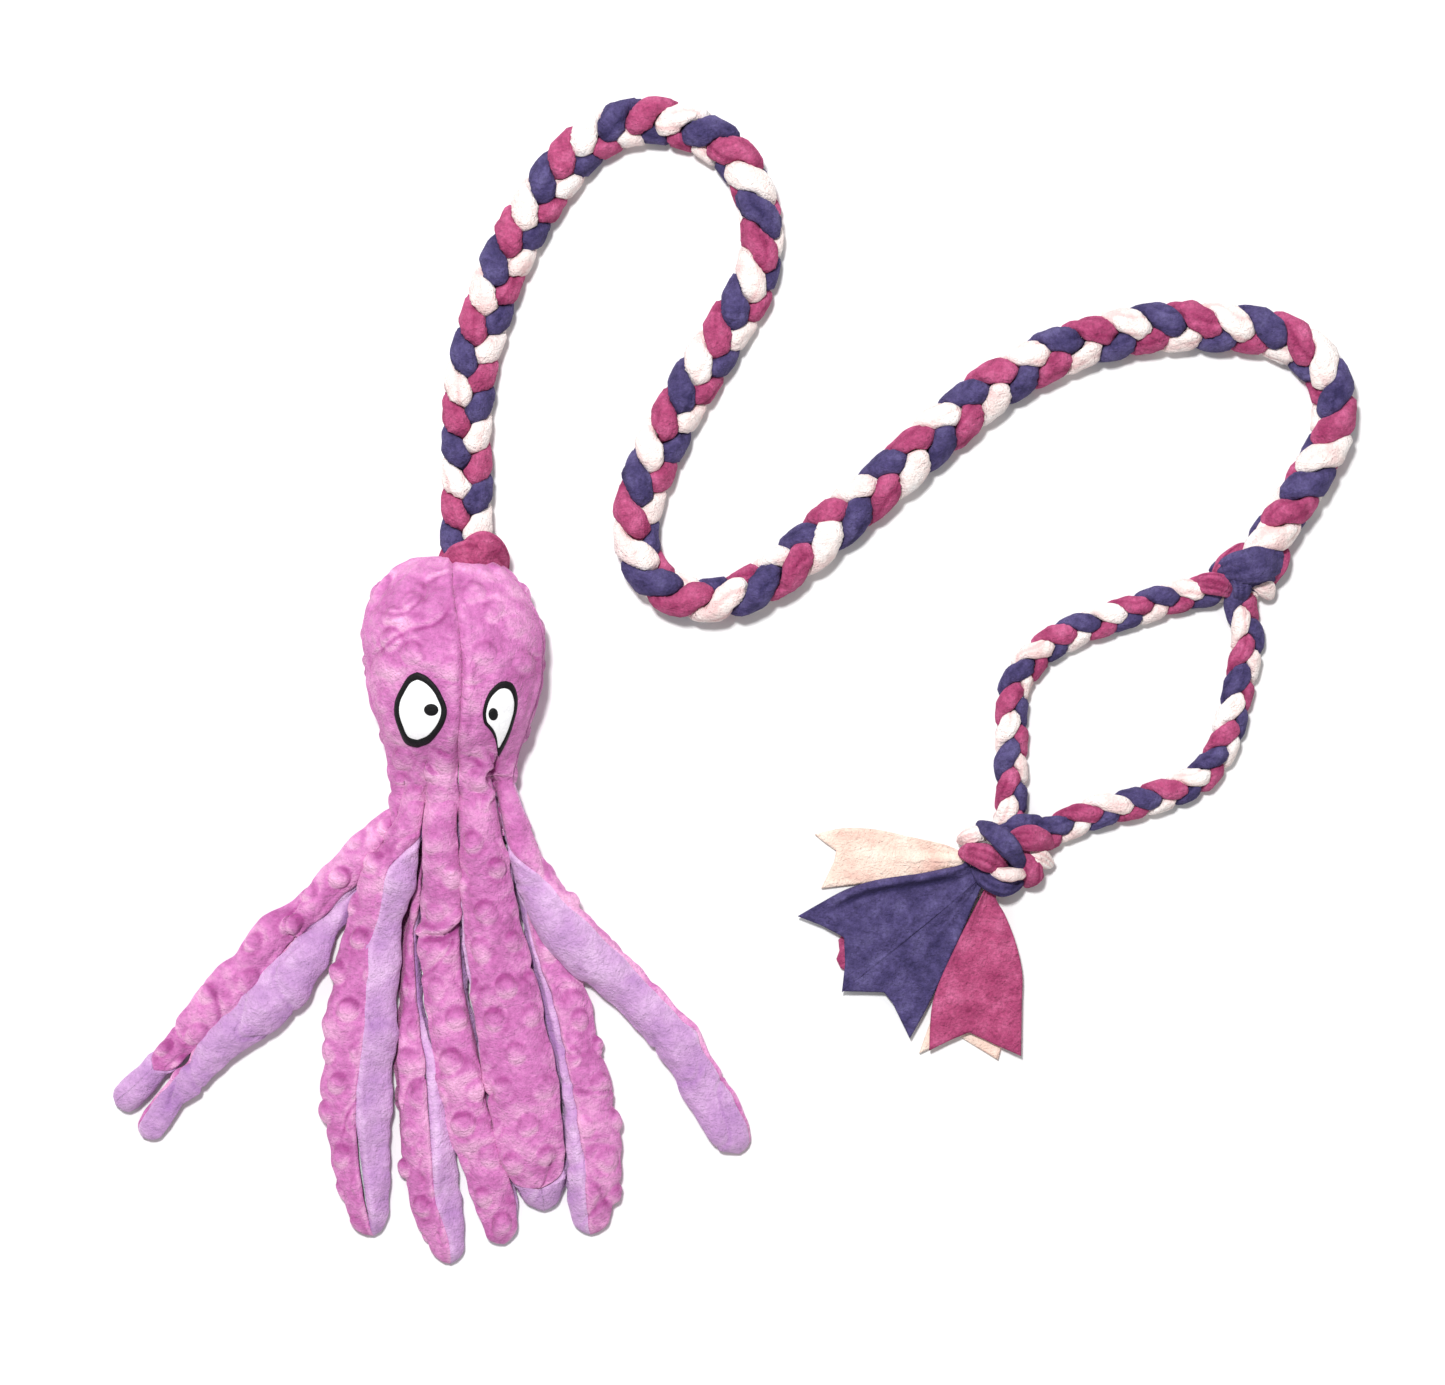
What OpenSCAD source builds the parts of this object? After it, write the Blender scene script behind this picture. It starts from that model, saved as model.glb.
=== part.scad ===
// Plush octopus tug toy on a three-colour braided fleece rope, in millimetres.
// It lies on its back on a flat surface: +Z is up, out of its face, and +Y runs from the
// tentacle tips to the crown. The origin is under the middle of the octopus.

/* [Octopus body] */
// Thickness of the plush skin of the head
plush_t = 2.4; // [2:0.1:2.6]
// Thickness of the doubled skin of a tentacle
tentacle_t = 1.6; // [1.2:0.1:1.8]
// Thickness of the crinkle film in each tentacle
crinkle_t = 0.5; // [0.3:0.1:0.6]
// Thickness of an embroidered eye patch
eye_t = 0.8; // [0.6:0.1:1]

/* [Squeaker] */
// Outer diameter of the squeaker's cup and cap
squeaker_d = 42; // [36:1:44]
// Height of the bellows wall between the cup and the cap
bellows_h = 10; // [9:0.5:11]

/* [Rope and handle] */
// Outer diameter of the main braid
rope_d = 22; // [20:0.5:23]
// Outer diameter of each leg of the hand loop
leg_d = 15; // [13:0.5:16]
// Thickness of a fleece tail
tail_t = 3; // [2.5:0.1:3.2]

/* [Hidden] */
$fn = 48;

orchid = [0.84, 0.45, 0.76];
lilac = [0.80, 0.62, 0.87];
white_fleece = [1.00, 0.95, 0.94];
purple_fleece = [0.33, 0.29, 0.52];
magenta_fleece = [0.75, 0.31, 0.54];
clear_plastic = [0.90, 0.92, 0.93];
film_silver = [0.80, 0.82, 0.85];
near_black = [0.07, 0.06, 0.08];
fibre_white = [0.95, 0.95, 0.93];

// Head cross-sections: [y, centre x, half width, height of the side seam, top, bottom]
head_sections = [
    [163, 9, 19, 14, 23, 5], [159, 9, 26, 15, 30, 3], [151, 9, 33, 16, 37, 1],
    [140, 10, 39, 18, 44, 0], [126, 12, 41.5, 19, 48, 0], [108, 13, 40, 19, 49, 0],
    [90, 12, 36, 18, 45, 0], [75, 11, 31.5, 15, 37, 0], [60, 11, 29, 13, 31, 0],
    [48, 13, 30, 12, 29, 0], [40, 15, 31.5, 12, 28, 0]
];
front_seam = 84; // angle of the front centre seam, seen along -Y from the crown
seam_gap = 0.4; // degrees left between two panels at a seam
root_h = 7.4; // the rear roots leave the neck below this height

// Tentacle stations: [x, y, half width, bottom, top], from the root to the tip
tentacle_a = [
    [-33, 25, 7, 0, 14], [-44, 14, 7.5, 0, 14], [-58, 1, 7.5, 0, 14], [-72, -11, 7.5, 0, 13],
    [-86, -27, 6.5, 0, 13], [-100, -42, 6.2, 0, 13], [-112, -54, 6, 0, 13],
    [-125, -69, 5, 0, 12], [-137, -81, 5.5, 0, 11], [-145, -89, 2, 2, 6]
];
tentacle_b = [
    [-46, -6, 4.5, 0, 7], [-52, -15, 7.5, 0, 10], [-62, -27, 9.5, 0, 13],
    [-73, -40, 9.8, 0, 14], [-85, -51, 9.8, 0, 14], [-98, -63, 9.6, 0, 14],
    [-109, -76, 9, 0, 13], [-119, -87, 7.8, 0, 12], [-127, -97, 6, 0, 10],
    [-133, -105, 2, 2, 6]
];
tentacle_c = [
    [-9, 39.5, 5.5, 9, 22], [-15, 24, 9, 8.5, 21], [-23, 6, 12, 7.5, 19], [-28.5, -17, 13.9, 0, 15],
    [-31, -40, 15.5, 0, 15], [-33, -63, 15.5, 0, 15], [-33.5, -86, 16.5, 0, 15],
    [-33, -109, 14.6, 0, 14], [-30, -130, 11, 0, 12], [-28, -144, 7, 0.5, 10],
    [-27, -151, 2, 2, 6]
];
tentacle_d = [
    [-9, -4, 2.6, 0, 7], [-10.5, -17, 3.2, 0, 9], [-10, -40, 3.6, 0, 11], [-8.5, -63, 7, 0, 13],
    [-5.5, -86, 9.8, 0, 14], [-2, -109, 11, 0, 14], [2.5, -133, 11.5, 0, 13],
    [7, -151, 8, 0, 10], [9, -164, 2, 2, 6]
];
tentacle_e = [
    [5.5, 39.5, 6.5, 9, 26], [7, 25, 8, 8.5, 22], [6, 6, 9.3, 2, 17], [4.2, -17, 10.5, 0, 14],
    [6, -40, 11, 0, 14], [11.6, -63, 10.8, 0, 14], [16, -86, 9.6, 0, 14],
    [21.3, -109, 10.3, 0, 14], [28.5, -131, 11.2, 0, 12], [32, -146, 7.5, 0, 10],
    [34, -155, 2, 2, 6]
];
tentacle_f = [
    [23.5, 39.5, 8.5, 9, 26.5], [26, 25, 10.5, 7, 23], [29, 6, 12, 2, 19], [31.6, -17, 15, 0, 17],
    [36, -40, 16.2, 0, 16], [40.3, -63, 16.2, 0, 16], [43.5, -86, 15.6, 0, 15],
    [47, -109, 13.6, 0, 14], [50.5, -125, 10.8, 0, 12], [52, -135, 5, 1, 8],
    [52, -139, 2, 2, 6]
];
tentacle_g = [
    [59, -29, 6.5, 0, 7], [63.6, -40, 9.4, 0, 10], [69, -63, 10.6, 0, 13], [72.3, -86, 11.4, 0, 13],
    [74.5, -109, 12, 0, 13], [74.5, -130, 10.6, 0, 11], [74, -144, 6, 0.5, 8],
    [74, -150, 2, 2, 5]
];
tentacle_h = [
    [40.3, 39.5, 4.6, 9, 20], [45, 22, 6, 9, 21], [58, -2, 10.4, 8, 20], [73, -19, 11.2, 3, 17],
    [89, -34, 11.2, 0, 14], [102, -48, 11.2, 0, 13], [114, -62, 11.2, 0, 13],
    [125, -78, 10.4, 0, 12], [134, -93, 9.5, 0, 11], [141, -107, 6, 0.5, 8],
    [143, -113, 2, 2, 5]
];
// Roll of each tentacle (0 puts the dotted face up, 180 the smooth face up) and the direction
// that it leaves its crease in
roll_a = 20;
roll_b = 160;
roll_c = 70;
roll_d = 60;
roll_e = 0;
roll_f = 0;
roll_g = -60;
roll_h = 190;
out_a = [-0.7071, -0.7071];
out_b = [-0.6, -0.8];
out_d = [0, -1];
out_g = [0.32, -0.9474];
out_front = [0, -1]; // tentacles c, e, f and h share one crease
// Gathered roots of the four rear tentacles, sewn into the head's back panels: as the stations
root_a = [[-8, 44, 6, 0, 7], [-19, 37, 7, 0, 8.5], [-32.3, 25.7, 7, 0, 14]];
root_b = [[-8, 44, 5, 0, 7], [-18, 25, 4.5, 0, 6.5], [-32, 5, 4, 0, 6], [-45.6, -5.4, 4.5, 0, 7]];
root_d = [[2, 44, 5, 0, 7], [-4, 20, 4, 0, 6.5], [-9, -3.4, 2.6, 0, 7]];
root_g = [[38, 44, 5, 0, 7], [46, 12, 5, 0, 6.5], [54, -12, 5.5, 0, 6.5], [59, -28.4, 6.5, 0, 7]];

// Centre lines of the rope and of the two legs of its hand loop, as they lie
rope_route = [
    [17, 180], [17, 200], [17, 224], [19, 250], [26, 276], [37, 305], [54, 334], [74, 357],
    [98, 366], [124, 361], [144, 345], [153, 318], [150, 293], [138, 271], [121, 243],
    [105, 213], [96, 186], [98, 163], [112, 148], [134, 145], [159, 156], [184, 177],
    [212, 201], [240, 226], [268, 248], [298, 262], [330, 270], [363, 271], [394, 266],
    [414, 249], [417, 224], [406, 200], [389, 174]
];
leg_left_route = [
    [364, 150], [348, 147], [326, 140], [302, 132], [283, 121], [271, 105], [269, 82],
    [269, 60], [268, 43]
];
leg_right_route = [
    [375, 142], [378, 126], [374, 104], [368, 80], [356, 63], [335, 53], [310, 47], [293, 40],
    [285, 36.5]
];

// Fleece tails in plan. All leave the knot at a crease along the line x + y = 268.
tail_white_upper_shape = [
    [242, 26.5], [236, 31], [217, 35], [203, 38], [190, 38], [178, 36], [188, 29], [181, 13],
    [196, 13], [222, 18], [237, 22.5], [243.5, 25]
];
tail_purple_upper_shape = [
    [246, 22], [232, 16], [212, 12], [194, 9], [170, -2], [191, -12], [190, -36], [252, 14]
];
tail_purple_lower_shape = [
    [251.5, 13], [192, -37.5], [211, -37], [222, -57], [230, -42], [254, 9.5], [253, 11.5]
];
tail_magenta_upper_shape = [
    [255.5, 9], [233, -42], [231, -64], [249, -55], [274, -67], [273, -40], [271, -14], [260, 5]
];
tail_magenta_under_shape = [
    [247, 20], [205, 3], [190, -13], [188, -24], [200, -27], [207, -34], [251, 15]
];
tail_white_under_shape = [
    [257.5, 7], [238, -36], [226, -66], [244, -57], [262, -70], [266, -30], [259.5, 6]
];

squeaker_at = [13, 110]; // middle of the squeaker
cup_z = 9; // underside of the squeaker's cup
cup_h = 8;
crown_at = [17, 167]; // middle of the wrap where the rope leaves the head
split_at = [381, 163]; // middle of the knot where the braid divides
wrap_r = 12.5;
end_knot_lobes = [[260, 30], [271, 26]];
eye_left = [-2.5, 94]; // middle of the left eye
eye_left_size = [12.2, 17]; // half its width and height
pupil_left = [3, 94];
eye_right = [34, 91];
eye_right_size = [7.6, 16.8];
pupil_right = [31.5, 92];
eye_lift = 1; // clearance of the patches over the skin's facets
upper_tail_z = tail_t + 0.4; // height of the tails that lie on others

function lerp(a, b, f) = a + (b - a) * f;
function unit(v) = v / norm(v);
function at(list, i) = list[max(0, min(len(list) - 1, i))];
// One point of the smooth curve through the stations around station i
function curve_at(s, i, f) = let (a = at(s, i - 1), b = at(s, i), c = at(s, i + 1), d = at(s, i + 2))
    0.5 * (2 * b + (c - a) * f + (2 * a - 5 * b + 4 * c - d) * f * f
    + (3 * b - a - 3 * c + d) * f * f * f);
function smooth(s, per) = [
    for (i = [0 : len(s) - 2]) for (j = [0 : per - 1]) curve_at(s, i, j / per), at(s, len(s) - 1)
];
// Level direction square to a path at point i. The path may leave or arrive in a set direction.
function across(path, i, leaving = undef, arriving = undef) = let (
    a = at(path, i - 1), b = at(path, i + 1), free = unit([b.x - a.x, b.y - a.y]),
    d = i == 0 && !is_undef(leaving) ? leaving
        : i == len(path) - 1 && !is_undef(arriving) ? arriving : free)
    [-d.y, d.x];

// Solid between rings of points, each ring a closed loop of the same count
module skin_rings(rings, strip = false) {
    n = len(rings[0]);
    m = len(rings);
    half = n / 2;
    sides = [for (i = [0 : m - 2]) for (j = [0 : n - 1]) for (t = [0, 1])
        t == 0 ? [i * n + j, (i + 1) * n + (j + 1) % n, i * n + (j + 1) % n]
        : [i * n + j, (i + 1) * n + j, (i + 1) * n + (j + 1) % n]];
    first = strip ? [for (j = [0 : half - 2]) [j, j + 1, n - 2 - j, n - 1 - j]]
        : [[for (j = [0 : n - 1]) j]];
    last = [for (f = first) [for (k = [len(f) - 1 : -1 : 0]) f[k] + (m - 1) * n]];
    polyhedron(points = [for (r = rings) each r], faces = concat(sides, first, last), convexity = 8);
}

// Point of a head section at an angle, drawn in by a wall thickness
function head_point(s, angle, inset) = let (
    w = s[2] - inset,
    rise = angle <= 180 ? s[4] - inset - s[3] : -(s[3] - s[5] - inset + 2),
    z = s[3] + rise * pow(abs(sin(angle)), 0.85))
    [s[1] + w * cos(angle), s[0], max(z, max(0, s[5]) + inset)];
function head_arc(s, from, to, inset) = [for (k = [0 : 8])
    head_point(s, lerp(from + seam_gap, to - seam_gap, k / 8), inset)];
module head_panel(from, to) {
    skin_rings([for (s = smooth(head_sections, 2))
        concat(head_arc(s, from, to, 0), [for (k = [8 : -1 : 0]) head_arc(s, from, to, plush_t)[k]])],
        strip = true);
}

// Point of a tentacle's oval section: station s, sideways direction, angle and wall inset
function oval_point(s, side, angle, inset) = let (
    low = max(0, s[3]), w = (s[2] - inset) * cos(angle), h = ((s[4] - low) / 2 - inset) * sin(angle))
    [s.x + side.x * w, s.y + side.y * w, (low + s[4]) / 2 + h];
// Angle along half a section, a stitch short of the seam at each end
function half_turn(from, f) = from + seam_gap + (180 - 2 * seam_gap) * f;
module tube_half(stations, out, from, wall) {
    path = smooth(stations, 2);
    skin_rings([for (i = [0 : len(path) - 1]) let (side = across(path, i, leaving = out))
        concat([for (k = [0 : 8]) oval_point(path[i], side, half_turn(from, k / 8), 0)],
        [for (k = [8 : -1 : 0]) oval_point(path[i], side, half_turn(from, k / 8), wall)])], strip = true);
}
// Gathered fabric root, filled by its own folds
module gathered_root(stations, out) {
    path = smooth(stations, 2);
    skin_rings([for (i = [0 : len(path) - 1]) let (side = across(path, i, arriving = out))
        [for (k = [0 : 11]) oval_point(path[i], side, 30 * k, 0)]]);
}
module crinkle_strip(stations) {
    path = smooth(stations, 2);
    inner = [for (i = [1 : len(path) - 3]) path[i]];
    skin_rings([for (i = [0 : len(inner) - 1]) let (
        s = inner[i], side = across(inner, i), w = (s[2] - tentacle_t) * 0.7, z = (s[3] + s[4]) / 2)
        [for (c = [[-1, -1], [1, -1], [1, 1], [-1, 1]])
            [s.x + side.x * w * c.x, s.y + side.y * w * c.x, z + crinkle_t / 2 * c.y]]]);
}
module tentacle_dotted(stations, out, roll) {
    color(orchid) tube_half(stations, out, roll, tentacle_t);
}
module tentacle_smooth(stations, out, roll) {
    color(lilac) tube_half(stations, out, roll + 180, tentacle_t);
}
module tentacle_crinkle(stations) {
    color(film_silver) crinkle_strip(stations);
}

// Round cord lying on the ground along a route
module cord_tube(route, d, per, sides) {
    path = smooth(route, per);
    skin_rings([for (i = [0 : len(path) - 1]) let (side = across(path, i))
        [for (k = [0 : sides - 1]) let (a = 360 / sides * (k + 0.5))
            [path[i].x + side.x * d / 2 * cos(a), path[i].y + side.y * d / 2 * cos(a),
            d / 2 * cos(180 / sides) + d / 2 * sin(a)]]]);
}

module head_front_left() {
    color(orchid) head_panel(front_seam, 180);
}
module head_front_right() {
    color(orchid) head_panel(0, front_seam);
}
module head_back_left() {
    color(orchid) {
        head_panel(180, 270);
        gathered_root(root_a, out_a);
        gathered_root(root_b, out_b);
        gathered_root(root_d, out_d);
    }
}
module head_back_right() {
    color(orchid) {
        head_panel(270, 360);
        gathered_root(root_g, out_g);
    }
}

// Round patch that closes the neck between the roots of the tentacles
module head_base() {
    s = head_sections[len(head_sections) - 1];
    loop = [for (k = [0 : 31]) head_point(s, 11.25 * k, plush_t + 0.8)];
    color(lilac) skin_rings([for (dy = [plush_t, 0])
        [for (p = loop) [p.x, p.y + dy, max(p.z, root_h)]]]);
}

// Height of the head's front skin at a point
function head_top(x, y) = let (
    s = [for (i = [0 : len(head_sections) - 2]) let (a = head_sections[i], b = head_sections[i + 1])
        if (y <= a[0] && y >= b[0]) lerp(a, b, (a[0] - y) / (a[0] - b[0]))][0],
    c = min(0.98, abs(x - s[1]) / s[2]))
    s[3] + (s[4] - s[3]) * pow(sqrt(1 - c * c), 0.85);
// Ring-shaped patch on the front skin: half width, half height, and inner edge as a share of them
module skin_patch(middle, wide, tall, inner, lift = eye_lift) {
    steps = 24;
    corners = [[inner, 0], [1, 0], [1, 1], [inner, 1]];
    rings = [for (k = [0 : steps - 1]) let (a = 360 / steps * k) [for (c = corners) let (
        x = middle.x + wide * c.x * cos(a), y = middle.y + tall * c.x * sin(a))
        [x, y, head_top(x, y) + lift + c.y * eye_t]]];
    polyhedron(points = [for (r = rings) each r], convexity = 6,
        faces = [for (i = [0 : steps - 1]) for (j = [0 : 3]) for (t = [0, 1]) let (
            a = i * 4 + j, b = i * 4 + (j + 1) % 4,
            c = (i + 1) % steps * 4 + j, d = (i + 1) % steps * 4 + (j + 1) % 4)
            t == 0 ? [a, b, d] : [a, d, c]]);
}
module eye_white(middle, size) {
    color("white") skin_patch(middle, size.x * 0.84, size.y * 0.84, 0.05);
}
module eye_outline(middle, size) {
    color(near_black) skin_patch(middle, size.x, size.y, 0.86);
}
module eye_pupil(middle, size) {
    color(near_black) skin_patch(middle, size.x, size.y, 0.15, eye_lift + eye_t + 0.15);
}

// Stuffing and squeaker
module filling_ring() {
    color(fibre_white) translate([squeaker_at.x, squeaker_at.y, 20]) rotate_extrude()
        translate([27.4, 0]) difference() {
            scale([1, 2]) circle(4.6);
            translate([-10, -12]) square([20, 4.6]);
        }
}
module filling_neck() {
    color(fibre_white) translate([12, 64, 15]) rotate([0, 90, 0])
        rotate_extrude() intersection() {
            scale([1, 1.6]) circle(10);
            translate([0, -20]) square([20, 40]);
        }
}
module anchor_knot() {
    color(magenta_fleece) translate([17, 148.5, 16]) rotate([90, 0, 0])
        rotate_extrude() translate([3.9, 0]) circle(3.8);
}
module squeaker_cup() {
    r = squeaker_d / 2;
    color(clear_plastic) translate([squeaker_at.x, squeaker_at.y, cup_z]) rotate_extrude()
        polygon([[4.2, 0], [r - 2, 0], [r, 2], [r, cup_h], [r - 1.5, cup_h], [r - 1.5, 2.4],
            [r - 2.4, 1.5], [4.2, 1.5]]);
}
module squeaker_bellows() {
    r = squeaker_d / 2;
    step = bellows_h / 4;
    color(clear_plastic) translate([squeaker_at.x, squeaker_at.y, cup_z + cup_h]) rotate_extrude()
        polygon([for (k = [0 : 4]) [r - 0.3 - k % 2 * 3, k * step],
            for (k = [4 : -1 : 0]) [r - 1.3 - k % 2 * 3, k * step]]);
}
module squeaker_cap() {
    r = squeaker_d / 2;
    color(clear_plastic) translate([squeaker_at.x, squeaker_at.y, cup_z + cup_h + bellows_h])
        rotate_extrude() polygon([[0, 0], [r, 0], [r, 1.5], [r - 3, 4], [0, 5]]);
}
module squeaker_reed() {
    color("white") translate([squeaker_at.x, squeaker_at.y, cup_z - 3]) difference() {
        union() {
            cylinder(r = 6, h = 3);
            cylinder(r = 4.1, h = 8);
        }
        translate([0, 0, -1]) cylinder(r = 1.2, h = 10);
    }
}

// Rope, its knots and the hand loop
module rope_braid() {
    color(purple_fleece) cord_tube(rope_route, rope_d, 2, 12);
}
module crown_wrap() {
    color(magenta_fleece) translate([crown_at.x, crown_at.y, 2]) cylinder(r = wrap_r, h = 22);
}
module split_knot() {
    color(purple_fleece) translate([split_at.x, split_at.y, 0]) cylinder(r = wrap_r, h = 22);
}
module loop_leg_left() {
    color(magenta_fleece) cord_tube(leg_left_route, leg_d, 2, 12);
}
module loop_leg_right() {
    color(white_fleece) cord_tube(leg_right_route, leg_d, 2, 12);
}
module end_knot() {
    color(purple_fleece) hull() for (p = end_knot_lobes)
        translate([p.x, p.y, 0]) cylinder(r = 11.5, h = 23, $fn = 32);
}
// Fleece strip cut with a swallow tail, lying flat at a height
module fleece_tail(shape, z) {
    translate([0, 0, z]) linear_extrude(height = tail_t) polygon(shape);
}

head_front_left();
head_front_right();
head_back_left();
head_back_right();
head_base();
eye_white(eye_left, eye_left_size);  // eye_white_left
eye_outline(eye_left, eye_left_size);  // eye_outline_left
eye_pupil(pupil_left, [3.3, 2.8]);  // eye_pupil_left
eye_white(eye_right, eye_right_size);  // eye_white_right
eye_outline(eye_right, eye_right_size);  // eye_outline_right
eye_pupil(pupil_right, [2, 2.8]);  // eye_pupil_right
filling_ring();
filling_neck();
anchor_knot();
squeaker_cup();
squeaker_bellows();
squeaker_cap();
squeaker_reed();
tentacle_dotted(tentacle_a, out_a, roll_a);  // tentacle_a_dotted
tentacle_smooth(tentacle_a, out_a, roll_a);  // tentacle_a_smooth
tentacle_crinkle(tentacle_a);  // tentacle_a_crinkle
tentacle_dotted(tentacle_b, out_b, roll_b);  // tentacle_b_dotted
tentacle_smooth(tentacle_b, out_b, roll_b);  // tentacle_b_smooth
tentacle_crinkle(tentacle_b);  // tentacle_b_crinkle
tentacle_dotted(tentacle_c, out_front, roll_c);  // tentacle_c_dotted
tentacle_smooth(tentacle_c, out_front, roll_c);  // tentacle_c_smooth
tentacle_crinkle(tentacle_c);  // tentacle_c_crinkle
tentacle_dotted(tentacle_d, out_d, roll_d);  // tentacle_d_dotted
tentacle_smooth(tentacle_d, out_d, roll_d);  // tentacle_d_smooth
tentacle_crinkle(tentacle_d);  // tentacle_d_crinkle
tentacle_dotted(tentacle_e, out_front, roll_e);  // tentacle_e_dotted
tentacle_smooth(tentacle_e, out_front, roll_e);  // tentacle_e_smooth
tentacle_crinkle(tentacle_e);  // tentacle_e_crinkle
tentacle_dotted(tentacle_f, out_front, roll_f);  // tentacle_f_dotted
tentacle_smooth(tentacle_f, out_front, roll_f);  // tentacle_f_smooth
tentacle_crinkle(tentacle_f);  // tentacle_f_crinkle
tentacle_dotted(tentacle_g, out_g, roll_g);  // tentacle_g_dotted
tentacle_smooth(tentacle_g, out_g, roll_g);  // tentacle_g_smooth
tentacle_crinkle(tentacle_g);  // tentacle_g_crinkle
tentacle_dotted(tentacle_h, out_front, roll_h);  // tentacle_h_dotted
tentacle_smooth(tentacle_h, out_front, roll_h);  // tentacle_h_smooth
tentacle_crinkle(tentacle_h);  // tentacle_h_crinkle
rope_braid();
crown_wrap();
split_knot();
loop_leg_left();
loop_leg_right();
end_knot();
color(white_fleece) fleece_tail(tail_white_upper_shape, 0);  // tail_white_upper
color(purple_fleece) fleece_tail(tail_purple_upper_shape, upper_tail_z);  // tail_purple_upper
color(purple_fleece) fleece_tail(tail_purple_lower_shape, upper_tail_z);  // tail_purple_lower
color(magenta_fleece) fleece_tail(tail_magenta_upper_shape, upper_tail_z);  // tail_magenta_upper
color(magenta_fleece) fleece_tail(tail_magenta_under_shape, 0);  // tail_magenta_under
color(white_fleece) fleece_tail(tail_white_under_shape, 0);  // tail_white_under
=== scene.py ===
"""Plush octopus tug toy on a braided fleece rope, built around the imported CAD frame. All sizes are in metres."""

import math

import bmesh
import bpy
import numpy as np
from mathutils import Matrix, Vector
from mathutils.bvhtree import BVHTree


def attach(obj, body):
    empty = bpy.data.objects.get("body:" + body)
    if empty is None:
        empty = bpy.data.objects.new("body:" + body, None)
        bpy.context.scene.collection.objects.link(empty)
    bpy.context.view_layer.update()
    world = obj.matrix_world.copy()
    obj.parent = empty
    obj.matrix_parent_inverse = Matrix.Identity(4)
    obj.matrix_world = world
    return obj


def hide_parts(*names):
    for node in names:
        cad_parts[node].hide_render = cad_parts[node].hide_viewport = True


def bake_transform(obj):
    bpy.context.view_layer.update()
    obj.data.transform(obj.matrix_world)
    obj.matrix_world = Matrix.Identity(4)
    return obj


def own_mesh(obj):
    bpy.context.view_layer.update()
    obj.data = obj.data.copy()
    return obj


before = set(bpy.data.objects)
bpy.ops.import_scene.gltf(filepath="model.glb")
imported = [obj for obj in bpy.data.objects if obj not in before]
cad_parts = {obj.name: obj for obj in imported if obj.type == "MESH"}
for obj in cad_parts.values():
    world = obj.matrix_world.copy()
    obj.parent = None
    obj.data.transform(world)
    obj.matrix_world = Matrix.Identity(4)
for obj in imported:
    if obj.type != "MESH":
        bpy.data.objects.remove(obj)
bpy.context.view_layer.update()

MM = 0.001
LETTERS = "abcdefgh"


# ---------------- camera
SENSOR_WIDTH = 36
VIEW_MIDDLE = (0.1352, 0.1019, 0.01)
VIEW_WIDTH = 0.668
VIEW_DISTANCE = 2.0


def add_object(name, data):
    obj = bpy.data.objects.new(name, data)
    bpy.context.collection.objects.link(obj)
    return obj


def make_camera():
    """Camera straight above the toy"""
    data = bpy.data.cameras.new("camera")
    data.sensor_width = SENSOR_WIDTH
    data.lens = SENSOR_WIDTH * VIEW_DISTANCE / VIEW_WIDTH
    data.clip_end = 20
    camera = add_object("camera", data)
    camera.location = (*VIEW_MIDDLE[:2], VIEW_MIDDLE[2] + VIEW_DISTANCE)
    bpy.context.scene.camera = camera


make_camera()


# ---------------- curves and fields
def unit(v):
    return v / np.maximum(np.linalg.norm(v, axis=-1, keepdims=True), 1e-12)


def smooth(points, per):
    """Smooth curve through the points, as in the CAD source"""
    p = np.array(points, float)
    p = np.vstack([p[:1], p, p[-1:]])
    a, b, c, d = p[:-3, None], p[1:-2, None], p[2:-1, None], p[3:, None]
    f = (np.arange(per) / per)[None, :, None]
    curve = 0.5 * (2 * b + (c - a) * f + (2 * a - 5 * b + 4 * c - d) * f**2 + (3 * b - a - 3 * c + d) * f**3)
    return np.vstack([curve.reshape(-1, p.shape[1]), p[-1:]])


def lengths(points):
    """Distance along a line of points at each point, in plan"""
    return np.concatenate([[0], np.cumsum(np.linalg.norm(np.diff(points[:, :2], axis=0), axis=1))])


def row_lengths(grid):
    """Distance along each row of a grid of points at each point"""
    steps = np.linalg.norm(np.diff(grid, axis=1), axis=-1)
    return np.concatenate([np.zeros((len(grid), 1)), np.cumsum(steps, 1)], 1)


def resample(points, step):
    """Points of a line at an even distance"""
    along = lengths(points)
    marks = np.linspace(0, along[-1], max(2, round(along[-1] / step) + 1))
    return marks, np.stack([np.interp(marks, along, points[:, k]) for k in range(points.shape[1])], 1)


def at_shares(line, shares):
    """Points in plan at these shares of the length of a line"""
    along = lengths(line)
    return np.stack([np.interp(shares, along / along[-1], line[:, k]) for k in (0, 1)], 1)


def raise_to(points, least):
    """Lift the points that are lower than least"""
    points[..., 2] = np.maximum(points[..., 2], least)


def keyed(marks, table, soften=1):
    """Values of a (place, value) table at the marks, with its corners rounded over some marks"""
    places, values = zip(*table)
    got = np.interp(marks, places, values)
    if soften > 1:
        kernel = np.hanning(2 * soften + 1)
        padded = np.pad(got, soften, mode="reflect", reflect_type="odd")
        got = np.convolve(padded, kernel / kernel.sum(), mode="valid")
    return got


def ripple(p, size, seed, stretch=(1, 1, 1)):
    """Smooth random field of unit spread, with features about this size in mm"""
    rng = np.random.default_rng(seed)
    waves = rng.normal(size=(28, 3)) * (2.2 / size) / np.array(stretch)
    phases = rng.uniform(0, 2 * math.pi, 28)
    return np.cos(p @ waves.T + phases).sum(-1) / math.sqrt(14)


def line_ripple(v, size, seed):
    """Smooth random field that changes with one distance only"""
    return ripple(np.stack([v, 0 * v, 0 * v], -1), size, seed)


def bump(d, radius):
    """Round hump of unit height"""
    return np.clip(1 - (d / radius) ** 2, 0, 1) ** 1.6


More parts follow.
